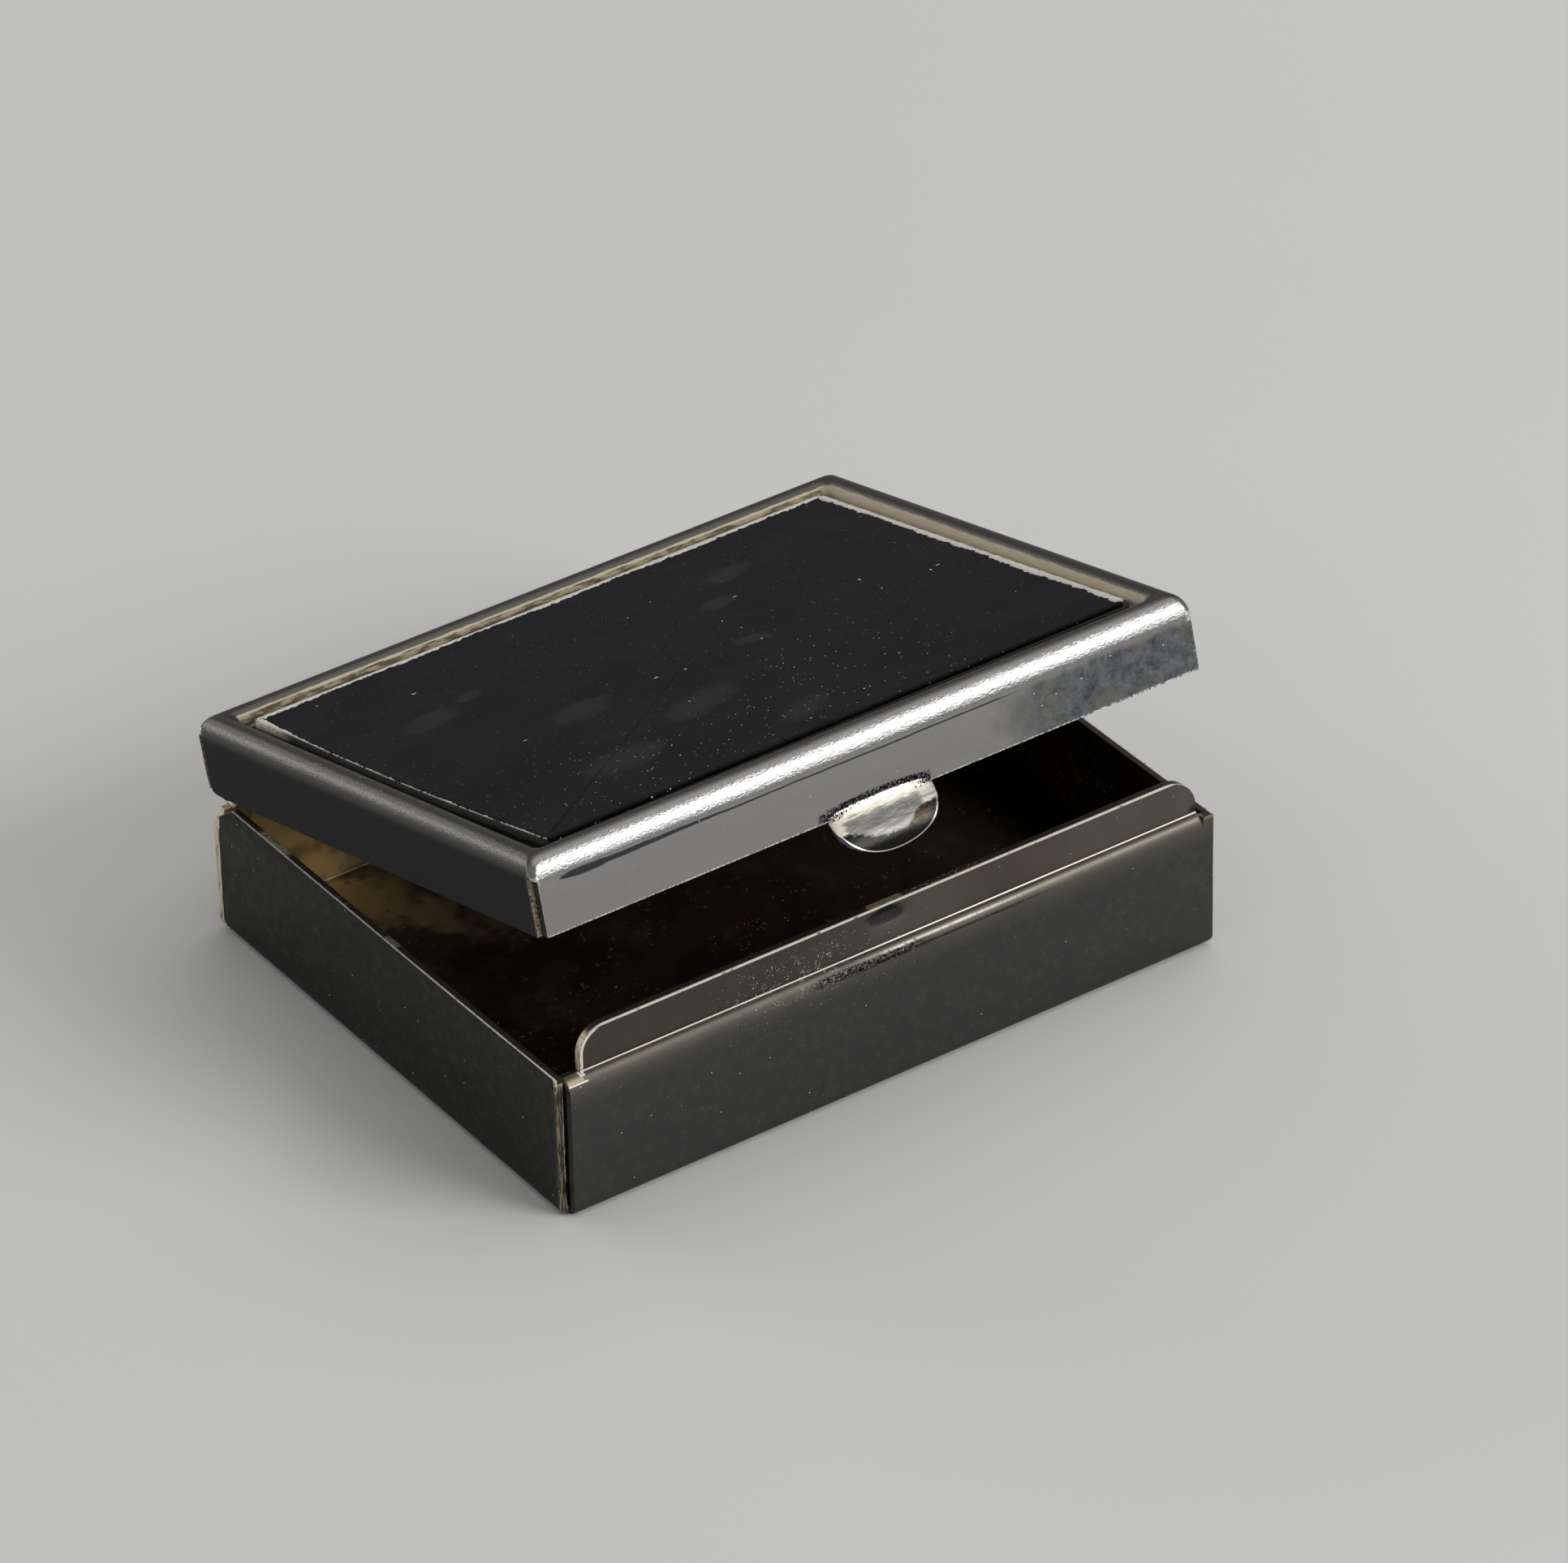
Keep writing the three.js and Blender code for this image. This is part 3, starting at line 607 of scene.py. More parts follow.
@dataclass(frozen=True)
class RawEdge:
    """Cut edges of the sheet: dark and stained, with tan streaks and a bright outer line that is a
    painted highlight.
    """

    name: str = "raw_edge"
    on_lid: bool = False
    # Colour of the bright outer line, a painted highlight.
    cream: Colour = (0.90, 0.86, 0.76)

    def material(self) -> bpy.types.Material:
        """Mixes the finish."""
        mix = Recipe(self.name, self.on_lid)
        streak = mix.noise(1.6, 5.0, 0.7, mix.stretched(4.5, 4.5, 0.45))
        crumb = mix.noise(5.0, 4.0, 0.65)
        brown = mix.blend(streak.rise(0.44, 0.62), (0.045, 0.033, 0.020), (0.36, 0.29, 0.18))
        edges = self._lid if self.on_lid else self._base
        colour, line = edges(mix, brown, streak, crumb)
        return mix.close({
            # The bright outer line is a painted highlight.
            "Base Color": mix.blend(line, colour, self.cream),
            "Metallic": 0.4,
            "Roughness": 0.42 + 0.2 * crumb,
            "Normal": mix.relief((streak + 0.5 * crumb, 0.05)),
        })

    @staticmethod
    def _lid(mix: Recipe, brown: Value, streak: Value, crumb: Value) -> Tuple[Value, Value]:
        """Colours the lid's edges: brown, darker in the seams and steel grey on the tab.

        Returns:
            The colour, and the share of the bright outer line, a painted highlight.
        """
        x, y, _ = mix.axes
        slit = (y.fall(-20.5, -20.42) * x.fall(-24.8, -24.4)).most(x.rise(-25.62, -25.56))
        steel = mix.blend(streak.rise(0.4, 0.6), (0.05, 0.055, 0.09), (0.30, 0.31, 0.36))
        colour = mix.layers(
            brown, (crumb.rise(0.45, 0.6), (0.50, 0.43, 0.32)),
            (slit, (0.045, 0.043, 0.038)), (y.fall(-21.2, -21.1), steel))
        # The bright outer line along the front is a painted highlight.
        return colour, y.band(-20.98, 0.05, 0.04) * crumb.rise(0.35, 0.5)

    @staticmethod
    def _base(mix: Recipe, brown: Value, streak: Value, crumb: Value) -> Tuple[Value, Value]:
        """Colours the base's edges by place.

        The lip's left end is tan, the walls' front ends brown, the side walls' tops dark with
        tan patches towards the back, and the lip's top dark with a tan chip in the middle.
        Bright lines follow the outer edges of the tops, and a broken one the front left seam; they
        are painted highlights.

        Returns:
            The colour, and the share of the bright lines, which are painted highlights.
        """
        x, y, z = mix.axes
        tan = mix.blend(streak.rise(0.34, 0.54), (0.14, 0.10, 0.06), (0.74, 0.66, 0.50))
        near = y.fall(-20.0, -19.7)
        low, high = z.fall(10.2, 10.35), z.rise(12.9, 13.4)
        far = near * x.rise(-25.40, -25.34) * z.fall(9.9, 10.1)
        large = mix.noise(0.35, 3.0, 0.6, mix.stretched(0.0, 1.0, 0.0))
        behind = large.rise(0.56, 0.60) * y.rise(-6.0, 4.0) * y.fall(9.0, 10.0)
        patch = y.band(13.2, 1.4, 0.6).most(behind)
        pale = mix.blend(crumb.rise(0.35, 0.55), (0.13, 0.10, 0.065), (0.46, 0.42, 0.34))
        top = z.rise(10.25, 10.4) * abs(x).rise(25.2, 25.35)
        chip = x.band(0.0, 1.2, 0.3) * crumb.rise(0.35, 0.5)
        lip = mix.layers(
            (0.028, 0.020, 0.013), (chip, (0.32, 0.26, 0.15)),
            (crumb.rise(0.56, 0.6) * x.band(4.0, 2.5, 2.0), (0.35, 0.27, 0.12)))
        colour = mix.layers(
            tan, (near * low, brown), (far * 0.85, (0.034, 0.034, 0.035)),
            (top, mix.blend(patch, (0.028, 0.019, 0.012), pale)), (high, lip))
        side = abs(x).rise(25.84, 25.9) * z.rise(10.2, 10.3)
        seam = x.band(-25.5, 0.02, 0.04) * y.fall(-20.0, -19.8) * low * streak.rise(0.47, 0.56)
        ledge = y.fall(-20.86, -20.8) * z.rise(9.9, 10.1) * x.fall(-23.5, -23.0)
        # Bright lines along the outer edges and the seam: painted highlights.
        line = side.most(y.fall(-20.19, -20.14) * high).most(seam).most(ledge)
        return colour, line * crumb.rise(0.3, 0.45)


@dataclass(frozen=True)
class BlackGloss:
    """Near-black glossy plate with greasy smudges, dust dots and bits of lint.

    A smudge is given by its middle and its two half axes.
    """

    name: str = "black_gloss"
    smudges: Tuple[Tuple[float, float, float, float], ...] = (
        (-9.0, -0.7, 1.8, 2.3), (-3.2, -6.6, 1.9, 3.2), (-11.9, -10.4, 2.6, 2.7),
        (10.7, 11.6, 1.4, 1.8), (7.5, 7.6, 1.1, 1.4), (0.1, -13.7, 1.3, 2.4),
        (5.0, -0.1, 1.3, 0.9), (-12.0, 8.4, 0.8, 1.1), (-16.0, 7.0, 1.5, 2.1),
    )

    def material(self) -> bpy.types.Material:
        """Mixes the finish."""
        mix = Recipe(self.name, on_lid=True)
        film = mix.noise(0.16, 3.0, at=mix.stretched(1.0, 1.6, 1.0))
        smudge, dust = self._smudges(mix), self._dust(mix)
        colour = mix.layers(
            mix.blend(film.rise(0.35, 0.7), (0.0030, 0.0034, 0.0042), (0.0065, 0.0072, 0.0080)),
            (smudge, (0.019, 0.0195, 0.019)), (dust, (0.80, 0.80, 0.78)))
        return mix.close({
            "Base Color": colour,
            "Roughness": 0.16 + 0.16 * smudge + 0.08 * film + 0.5 * dust,
            "Specular IOR Level": 0.03,
            "Normal": mix.relief((mix.noise(0.2, 1.0), 0.02), (dust, 0.03)),
        })

    def _smudges(self, mix: Recipe) -> Value:
        """Soft round smudges: ellipses on axes at 57 degrees to the plate's sides."""
        x, y, _ = mix.axes
        ragged = 1.1 * (mix.noise(0.7, 3.0) - 0.5)
        total: Value = 0 * ragged
        for cx, cy, first, second in self.smudges:
            right = (0.55 * (x - cx) - 0.84 * (y - cy)) / first
            up = (0.55 * (x - cx) + 0.84 * (y - cy)) / second
            total = total.most((right * right + up * up + ragged).fall(0.2, 1.2))
        return total

    @staticmethod
    def _dust(mix: Recipe) -> Value:
        """Dust, thickest towards the front left and at the right of the middle."""
        x, y, _ = mix.axes
        left = y.fall(-15.0, -3.0) * x.band(-9.0, 6.0, 9.0)
        crowd = left.most(y.fall(-13.0, 4.0) * x.band(6.0, 2.0, 7.0))
        everywhere = mix.specks(0.9, 0.06, 0.34)
        fine = mix.specks(3.6, 0.20, 0.36) * (0.15 + 0.85 * crowd)
        clots = mix.specks(1.6, 0.13, 0.20, mix.shifted(2.0, 5.0, 0.0)) * crowd
        long = mix.specks(1.0, 0.10, 0.10, mix.stretched(0.35, 1.3, 1.0))
        tall = mix.specks(1.0, 0.09, 0.10, mix.stretched(1.3, 0.4, 1.0))
        return everywhere.most(fine).most(clots).most(long.most(tall) * 0.9)


@dataclass(frozen=True)
class PaleGlue:
    """Cream-white glue squeezed out round the plate, laid dark as painted shade low in the gap
    along the front and the left.
    """

    name: str = "pale_glue"
    dirty: Colour = (0.28, 0.23, 0.16)
    clean: Colour = (0.66, 0.61, 0.51)
    # Painted shade on the glue low in the gap.
    dark: Colour = (0.035, 0.029, 0.021)
    lap: Colour = (0.70, 0.70, 0.65)

    def material(self) -> bpy.types.Material:
        """Mixes the finish."""
        mix = Recipe(self.name, on_lid=True)
        x, y, z = mix.axes
        clump = mix.noise(3.0, 6.0, 0.7)
        # Painted shade: dark along the front, and along the left except towards the back.
        low = (x.fall(-22.4, -22.2) * y.fall(13.0, 15.5)).most(y.fall(-16.9, -16.7))
        colour = mix.layers(
            mix.blend(clump.rise(0.3, 0.6), self.dirty, self.clean), (low, self.dark),
            (z.rise(4.82, 4.86) * (0.4 + 0.6 * clump), self.lap))
        return mix.close({
            "Base Color": colour, "Roughness": 0.75, "Normal": mix.relief((clump, 0.12)),
        })


@dataclass(frozen=True)
class HingeMetal:
    """Bare metal of the hinge, rolled or drawn, with tarnish in the hollows."""

    name: str
    clean: Colour
    tarnish: Colour
    roughness: float
    along: float = 0.4

    def material(self) -> bpy.types.Material:
        """Mixes the finish."""
        mix = Recipe(self.name)
        stain = mix.noise(0.9, 4.0, 0.6)
        drawn = mix.noise(1.5, 3.0, at=mix.stretched(self.along, 6.0, 6.0))
        return mix.close({
            "Base Color": mix.blend(stain.rise(0.35, 0.7), self.clean, self.tarnish),
            "Metallic": 1.0,
            "Roughness": self.roughness + 0.15 * stain,
            "Normal": mix.relief((drawn, 0.015)),
        })


@dataclass(frozen=True)
class PaleFloor:
    """Plain pale ground."""

    name: str = "pale_floor"
    colour: Colour = (0.66, 0.655, 0.645)
    depth: float = 0.97

    def material(self) -> bpy.types.Material:
        """Mixes the finish."""
        mix = Recipe(self.name)
        deep = tuple(self.depth * part for part in self.colour)
        tone = mix.blend(mix.noise(0.02, 2.0), deep, self.colour)
        return mix.close({"Base Color": tone, "Roughness": 0.9})


# ---------------------------------------------------------------- mesh helpers


def quarter(steps: int) -> np.ndarray:
    """Even angles from zero to a right angle."""
    return np.linspace(0, RIGHT_ANGLE, steps)


def join(*parts: Sequence) -> np.ndarray:
    """The parts one after another."""
    return np.concatenate(parts)


@dataclass
class Surface:
    """A grid of points in millimetres, rows by columns, with the faces that are kept.

    Columns run to the right and rows upwards as seen from outside, so faces point outwards.
    """

    points: np.ndarray
    keep: Optional[np.ndarray] = None
    loop: bool = False
    capped: bool = False
    cap_last: bool = False

    def faces(self) -> Tuple[np.ndarray, List[List[int]]]:
        """Quads of the kept cells, and the flat caps over the first and last rows.

        Returns:
            The quads as rows of four point numbers, and the caps as lists of point numbers.
        """
        rows, columns = self.points.shape[:2]
        number = np.arange(rows * columns).reshape(rows, columns)
        left = number if self.loop else number[:, :-1]
        right = np.roll(number, -1, axis=1) if self.loop else number[:, 1:]
        quads = np.stack([left[:-1], right[:-1], right[1:], left[1:]], axis=-1)
        kept = quads.reshape(-1, 4) if self.keep is None else quads[self.keep]
        caps = [number[0, ::-1].tolist()] if self.capped else []
        if self.capped or self.cap_last:
            caps.append(number[-1].tolist())
        return kept, caps


def make_piece(name: str, surface: Surface, *finishes: bpy.types.Material) -> bpy.types.Object:
    """Makes one smooth-shaded object from a surface.

    Args:
        name: the piece's name.
        surface: its surface in millimetres, in the row frame.
        finishes: its materials, the first on every face.

    Returns:
        The new object, at the origin.
    """
    quads, caps = surface.faces()
    used = np.unique(join(quads.ravel(), np.ravel(caps).astype(int)))
    points = surface.points.reshape(-1, 3)
    renumber = np.zeros(len(points), dtype=int)
    renumber[used] = np.arange(len(used))
    faces = renumber[quads].tolist() + [renumber[cap].tolist() for cap in caps]
    mesh = bpy.data.meshes.new(name)
    mesh.from_pydata((points[used] * MM).tolist(), [], faces)
    mesh.polygons.foreach_set("use_smooth", np.ones(len(mesh.polygons), dtype=bool))
    for finish in finishes:
        mesh.materials.append(finish)
    mesh.validate()
    mesh.update()
    piece = bpy.data.objects.new(name, mesh)
    bpy.context.scene.collection.objects.link(piece)
    return piece


def thicken(piece: bpy.types.Object, edge: float, even: bool = True) -> None:
    """Gives a surface its sheet thickness inwards and rounds its cut edges.

    Args:
        piece: the surface; its second material goes inside and its third on cut edges.
        edge: width of the rounded edges in millimetres.
        even: keeps the thickness in sharp bends; off where the outline has sharp notches.
    """
    sheet = piece.modifiers.new("sheet", "SOLIDIFY")
    sheet.thickness = SHEET * MM
    sheet.offset = -1.0
    sheet.use_even_offset = even
    sheet.use_rim = True
    sheet.material_offset = 1
    sheet.material_offset_rim = 2
    bevel = piece.modifiers.new("broken_edges", "BEVEL")
    bevel.width = edge * MM
    bevel.segments = 2
    bevel.limit_method = "ANGLE"
    bevel.angle_limit = SHARP_BEND
    bevel.harden_normals = True
    bevel.use_clamp_overlap = True


def opened(points: np.ndarray) -> np.ndarray:
    """Points of the closed lid, heights from its skirt, turned to where the lid stands open.

    A point turns about the hinge line by the opening angle, front edge upwards.
    """
    _, hinge_y, hinge_z = HINGE_LINE
    dy, dz = points[..., 1] - hinge_y, points[..., 2] + LID_BOTTOM - hinge_z
    c, s = math.cos(OPEN_ANGLE), math.sin(OPEN_ANGLE)
    return np.stack([points[..., 0], hinge_y + c * dy + s * dz, hinge_z - s * dy + c * dz], axis=-1)


def ripple(along: np.ndarray, across: np.ndarray, size: float, seed: int) -> np.ndarray:
    """Slow unevenness of hand-pressed sheet: a sum of six long sine waves in two directions.

    Args:
        along: first coordinate in millimetres.
        across: second coordinate in millimetres.
        size: rough height in millimetres.
        seed: picks the waves.

    Returns:
        The height at each point.
    """
    pick = np.random.default_rng(seed)
    total = np.zeros(np.broadcast(along, across).shape)
    spans = (9, 30), (0, math.pi), (0, math.tau)
    for _ in range(6):
        length, turn, phase = (pick.uniform(*span) for span in spans)
        run = along * math.cos(turn) + across * math.sin(turn)
        total += np.sin(run * 2 * math.pi / length + phase)
    return total * size / 3


# ---------------------------------------------------------------- sub-assemblies


@dataclass
class LidShell:
    """The lid's formed sheet: skirt, bead, recess and thumb tab, in closed lid coordinates."""

    half_depth: float = 21.0
    height: float = 5.4
    bead: float = 2.1
    round: float = 1.1
    front_drop: float = 1.9
    side_drop: float = 1.4
    inner_round: float = 1.0
    recess: float = 1.2
    corner: float = 0.42
    slit: float = 0.23
    seam_top: float = 3.85
    back_edge: float = 1.1
    corner_run: float = 1.3
    corner_rise: float = 0.55
    tab_half: float = 4.1
    tab_middle: float = 0.05
    tab_drop: float = 2.85
    tab_rise: float = 0.62
    tab_reach: float = 1.6
    tab_share: float = 0.86
    tab_power: float = 1.4
    tab_rows: int = 18
    uneven: float = 0.012

    def _columns(self) -> Tuple[np.ndarray, np.ndarray]:
        """Columns round the plan, counter-clockwise from the front left.

        Each column holds (ex, nx, ey, ny): a ring's point is the corner centre's place times e
        plus the corner radius times n. On a straight, e or n runs along the side; on a corner,
        n turns through a quarter circle.

        Returns:
            The columns, and for each face between two columns whether the open seam cuts it.
        """
        reach = HALF_WIDTH - self.corner
        deep = self.half_depth - self.corner
        tab = self.tab_middle - self.tab_half * np.cos(np.linspace(0, math.pi, 41))
        left = np.linspace(-reach, tab[0] - 0.25, 44)
        right = np.linspace(tab[-1] + 0.25, reach, 44)
        front = join(left, tab, right) / reach
        slit = 1 - self.slit / deep
        bend = 1 - (self.corner_run - self.corner) / deep
        side = join(
            [-1, -slit], np.linspace(-0.97, bend, 34), np.linspace(bend, slit, 8)[1:], [1])
        angle = quarter(9)[1:-1]
        sin, cos, one = np.sin(angle), np.cos(angle), np.ones(len(angle))
        sides = [
            (front, 0.0, -1.0, -1.0), (one, sin, -1.0, -cos),
            (1.0, 1.0, side, 0.0), (one, cos, 1.0, sin),
            (np.linspace(1, -1, 60), 0.0, 1.0, 1.0), (-one, -sin, 1.0, cos),
            (-1.0, -1.0, -side, 0.0), (-one, -cos, -1.0, -sin),
        ]
        groups = [np.stack(np.broadcast_arrays(*parts), axis=-1) for parts in sides]
        starts = np.cumsum([0] + [len(group) for group in groups])
        cut = np.zeros(starts[-1], dtype=bool)
        cut[[starts[2], starts[3] - 2, starts[6], starts[7] - 2]] = True
        cut[starts[7] - 1:] = True
        return join(*groups), cut

    def _lower_edge(self, columns: np.ndarray) -> Tuple[np.ndarray, np.ndarray]:
        """Height of the lower edge of each column, and of the line that the tab bends from.

        The tab's outline is a half ellipse below the skirt and a flat one above it. The side
        skirts rise at the back corner, and the back skirt stands clear of the hinge.

        Returns:
            The two heights.
        """
        ex, nx, ey, ny = columns.T
        x = ex * (HALF_WIDTH - self.corner)
        y = ey * (self.half_depth - self.corner) + ny * self.corner
        arch = np.sqrt(1 - np.clip((x - self.tab_middle) / self.tab_half, -1, 1) ** 2)
        tab = (ny == -1.0) & (arch > 0)
        bend = np.where(tab, np.maximum(self.tab_rise * arch, 0.03), 0.3)
        slope = np.clip((y - self.half_depth + self.corner_run) / self.corner_run, 0, 1)
        side = np.abs(nx) == 1.0
        low = np.where(side, slope * self.corner_rise, np.where(tab, -self.tab_drop * arch, 0))
        low = np.where((ny > 0) & ~side, self.back_edge, low)
        return low, np.maximum(bend, low + 0.03)

    def _tab_offset(self, z: np.ndarray) -> np.ndarray:
        """How far the tab's section stands out at a height: a rising sine raised to a power."""
        length = (self.tab_rise + self.tab_drop) * self.tab_share
        way = np.clip((self.tab_rise - z) / length, 0, 1.2)
        return self.tab_reach * np.sin(way * math.pi / 2) ** self.tab_power

    def surface(self) -> Surface:
        """The outer face: a profile carried round the plan.

        The profile climbs the skirt, goes over the bead on a tall quarter ellipse and a quarter
        circle, and down a small hollow to the panel. The ellipse is taller along the front.

        Returns:
            The surface in closed lid coordinates.
        """
        columns, cut = self._columns()
        low, bend = self._lower_edge(columns)
        ex, nx, ey, ny = columns.T
        drop = self.side_drop + (self.front_drop - self.side_drop) * np.clip(-ny, 0, 1)
        start = self.height - drop
        seam = math.asin((self.seam_top - self.height + self.front_drop) / self.front_drop)
        outer = join(np.linspace(0, seam, 6)[1:], np.linspace(seam, RIGHT_ANGLE, 11)[1:])
        over, down = quarter(11)[1:], quarter(11)[2::2]
        foot = self.height - self.inner_round
        panel = self.height - self.recess
        hollow = foot - panel
        inner = self.bead + hollow
        inset = join(
            self.round * (1 - np.cos(outer)),
            self.bead - self.inner_round + self.inner_round * np.sin(over),
            inner - hollow * np.cos(down),
            [inner + 0.4, inner + 1.2, inner + 2.5],
        )
        within = join(
            foot + self.inner_round * np.cos(over), foot - hollow * np.sin(down), [panel] * 3)
        tab_steps = np.linspace(0, 1, self.tab_rows + 1)[:, None]
        skirt_steps = np.linspace(0, 1, 11)[1:, None]
        skirt = join(low + (bend - low) * tab_steps, bend + (start - bend) * skirt_steps)
        rows = len(skirt)
        z = join(
            skirt, start + drop * np.sin(outer)[:, None],
            np.repeat(within[:, None], len(columns), axis=1))
        a = join(np.zeros(rows), inset)[:, None]
        r = self.corner + 0.15 * a
        x = ex * (HALF_WIDTH - a - r) + nx * r
        y = ey * (self.half_depth - a - r) + ny * r
        tab = (ny == -1.0) & (low < 0)
        out = self._tab_offset(z[: self.tab_rows + 1]) - self._tab_offset(bend)
        y[: self.tab_rows + 1] -= np.where(tab, np.maximum(out, 0), 0)
        keep = np.ones((len(a) - 1, len(columns)), dtype=bool)
        keep[: rows + 4, cut] = False
        return Surface(opened(self._uneven(x, y, z)), keep, loop=True, cap_last=True)

    def _uneven(self, x: np.ndarray, y: np.ndarray, z: np.ndarray) -> np.ndarray:
        """The points, with the sheet's slow unevenness added to skirts and bead."""
        inward = np.where(y < 0.1 - self.half_depth, ripple(x, 3 * z, self.uneven, 3), 0)
        sideways = np.where(
            np.abs(x) > HALF_WIDTH - 0.1, ripple(y, 3 * z, self.uneven, 5), 0)
        return np.stack([x - np.sign(x) * np.abs(sideways), y + np.abs(inward), z], axis=-1)

    def build(self) -> bpy.types.Object:
        """Makes the piece and puts it on the lid."""
        piece = make_piece(
            "lid_pressing", self.surface(), BrightPlate().material(),
            Lacquer("lid_lacquer", on_lid=True).material(),
            RawEdge("lid_raw_edge", on_lid=True).material())
        thicken(piece, 0.07, even=False)
        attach(piece, Body.LID.value)
        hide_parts("lid_shell")
        return piece


@dataclass
class BaseTray:
    """The base's folded sheet: floor, walls, shoulder and closing lip with its dimple.

    The dimple is given by its middle, its two half axes and its depth.
    """

    front: float = -21.0
    back: float = 20.5
    height: float = 10.5
    bend: float = 0.7
    shoulder: float = 0.58
    shoulder_drop: float = 1.3
    lip_set: float = 0.75
    lip_height: float = 3.1
    crease: float = 0.12
    lip_left: float = -24.0
    lip_right: float = 25.1
    round_left: float = 1.9
    round_right: float = 2.6
    back_top: float = 9.4
    end_cut: Tuple[float, float] = (0.6, 1.2)
    corner_cut: Tuple[float, float] = (2.4, 1.3)
    front_rise: float = 0.2
    rise_start: float = -2.0
    rise_run: float = 18.0
    dimple: Tuple[float, float, float, float, float] = (0.1, 12.5, 2.3, 0.98, 0.38)

    def __post_init__(self) -> None:
        """Lays out the grid that the surface is folded from."""
        self.col, self.row = self._columns(), self._rows()

    def _columns(self) -> Dict[str, np.ndarray]:
        """Columns from the left wall's top over the floor to the right wall's top.

        Returns:
            For each column its x, the bend's angle, its height on the side walls as a share,
            and whether it lies over the floor.
        """
        flat = HALF_WIDTH - self.bend
        middle = join(
            [-flat, self.lip_left - 0.05, self.lip_left], np.linspace(-23.6, -2.6, 46),
            np.linspace(-2.2, 2.4, 33), np.linspace(2.8, 24.7, 46),
            [self.lip_right, self.lip_right + 0.06, flat],
        )
        angle, wall = quarter(7)[1:], np.linspace(0, 1, 9)[1:]
        sides = {
            "x": join(flat + self.bend * np.sin(angle), np.full(len(wall), HALF_WIDTH)),
            "turn": join(angle, np.full(len(wall), RIGHT_ANGLE)),
            "up": join(np.zeros(len(angle)), wall),
        }
        none = np.zeros(len(middle))
        columns = {key: join(side[::-1], none, side) for key, side in sides.items()}
        columns["x"] = join(-sides["x"][::-1], middle, sides["x"])
        columns["floor"] = columns["turn"] == 0
        return columns

    def _rows(self) -> Dict[str, np.ndarray]:
        """Rows from the lip's top edge down the front wall, over the floor and up the back.

        The lip is upright, a small hollow arc turns it into the shoulder, a larger arc turns
        that into the wall, and a quarter circle turns each wall into the floor.

        Returns:
            For each row its part of the tray, its y, its height and the bend's angle.
        """
        lip_y = self.front + self.lip_set
        low = self.height - self.shoulder_drop
        down = self.height + self.lip_height - self.round_right * (1 - np.cos(quarter(12))) * 0.9
        hollow = quarter(5)[1:]
        outer = np.linspace(RIGHT_ANGLE, math.pi, 13)
        turn, rise = quarter(9)[-2::-1], quarter(9)
        floor_y = join(
            np.linspace(self.front + self.bend + 0.6, 17.9, 26), [18.1, 18.6, 19.1, 19.5])
        parts = [
            ("lip", lip_y, join(down[:-1], np.linspace(down[-1], self.height + self.crease, 14)),
             RIGHT_ANGLE),
            ("crease", lip_y - self.crease * (1 - np.cos(hollow)),
             self.height + self.crease * (1 - np.sin(hollow)), RIGHT_ANGLE),
            ("shoulder", self.front + self.shoulder + self.shoulder * np.cos(outer),
             self.height - self.shoulder_drop * (1 - np.sin(outer)), RIGHT_ANGLE),
            ("wall", self.front, np.linspace(low, self.bend, 22)[1:], RIGHT_ANGLE),
            ("front_bend", self.front + self.bend * (1 - np.sin(turn)),
             self.bend * (1 - np.cos(turn)), turn),
            ("floor", floor_y, 0.0, 0.0),
            ("back", self.back - self.bend * (1 - np.sin(rise)),
             self.bend * (1 - np.cos(rise)), rise),
            ("back", self.back, np.linspace(self.bend, self.back_top, 14)[1:], RIGHT_ANGLE),
        ]
        spread = [np.broadcast_arrays(*part) for part in parts]
        return {key: join(*(part[k] for part in spread))
                for k, key in enumerate(("part", "y", "z", "turn"))}

    def surface(self) -> Surface:
        """The outer face as the sheet's cross-shaped blank, folded up.

        Over the floor's columns a point has its row's place, over the floor's rows it has its
        column's place, and at three corners the front and back walls run on past the bend.

        Returns:
            The surface in the row frame.
        """
        col, row = self.col, self.row
        size = len(row["y"]), len(col["x"])
        x = np.broadcast_to(col["x"], size)
        y = np.broadcast_to(row["y"][:, None], size)
        z = np.broadcast_to(row["z"][:, None], size)
        flat_row, floor_col = self._flat_rows()[:, None], col["floor"][None]
        z = np.where(flat_row & ~floor_col, self._side_height(y), z)
        reach = self.bend * np.sin(col["turn"])[None] * np.sin(row["turn"])[:, None]
        cut_x, cut_z = self.end_cut
        ended = cut_x * np.clip((z - self.back_top + cut_z) / cut_z, 0, 1)
        ended = np.where(row["part"][:, None] == "back", ended, 0)
        past = np.sign(x) * (HALF_WIDTH - self.bend + reach * (1 - ended / self.bend))
        points = np.stack([np.where(~flat_row & ~floor_col, past, x), y, z], axis=-1)
        self._end_shoulder(points)
        self._shape_lip(points)
        return Surface(points[::-1], self._keep()[::-1])

    def _flat_rows(self) -> np.ndarray:
        """Which rows lie on the floor's plane."""
        part, flat = self.row["part"], self.row["turn"] == 0
        return (part == "floor") | (((part == "front_bend") | (part == "back")) & flat)

    def _side_height(self, y: np.ndarray) -> np.ndarray:
        """Height on the side walls: the bend's arc, then a share of the way to the top edge.

        The top edge slopes down at the back corner, and the left one rises towards the front.
        """
        run, drop = self.corner_cut
        top = self.height - drop * np.clip((y - self.back + run) / (run - self.bend), 0, 1)
        left = self.col["x"] < 0
        way = np.clip((self.rise_start - y) / self.rise_run, 0, 1)
        top = top + self.front_rise * way ** 1.5 * left
        arc = self.bend * (1 - np.cos(self.col["turn"]))[None]
        return arc + (top - self.bend) * self.col["up"][None]

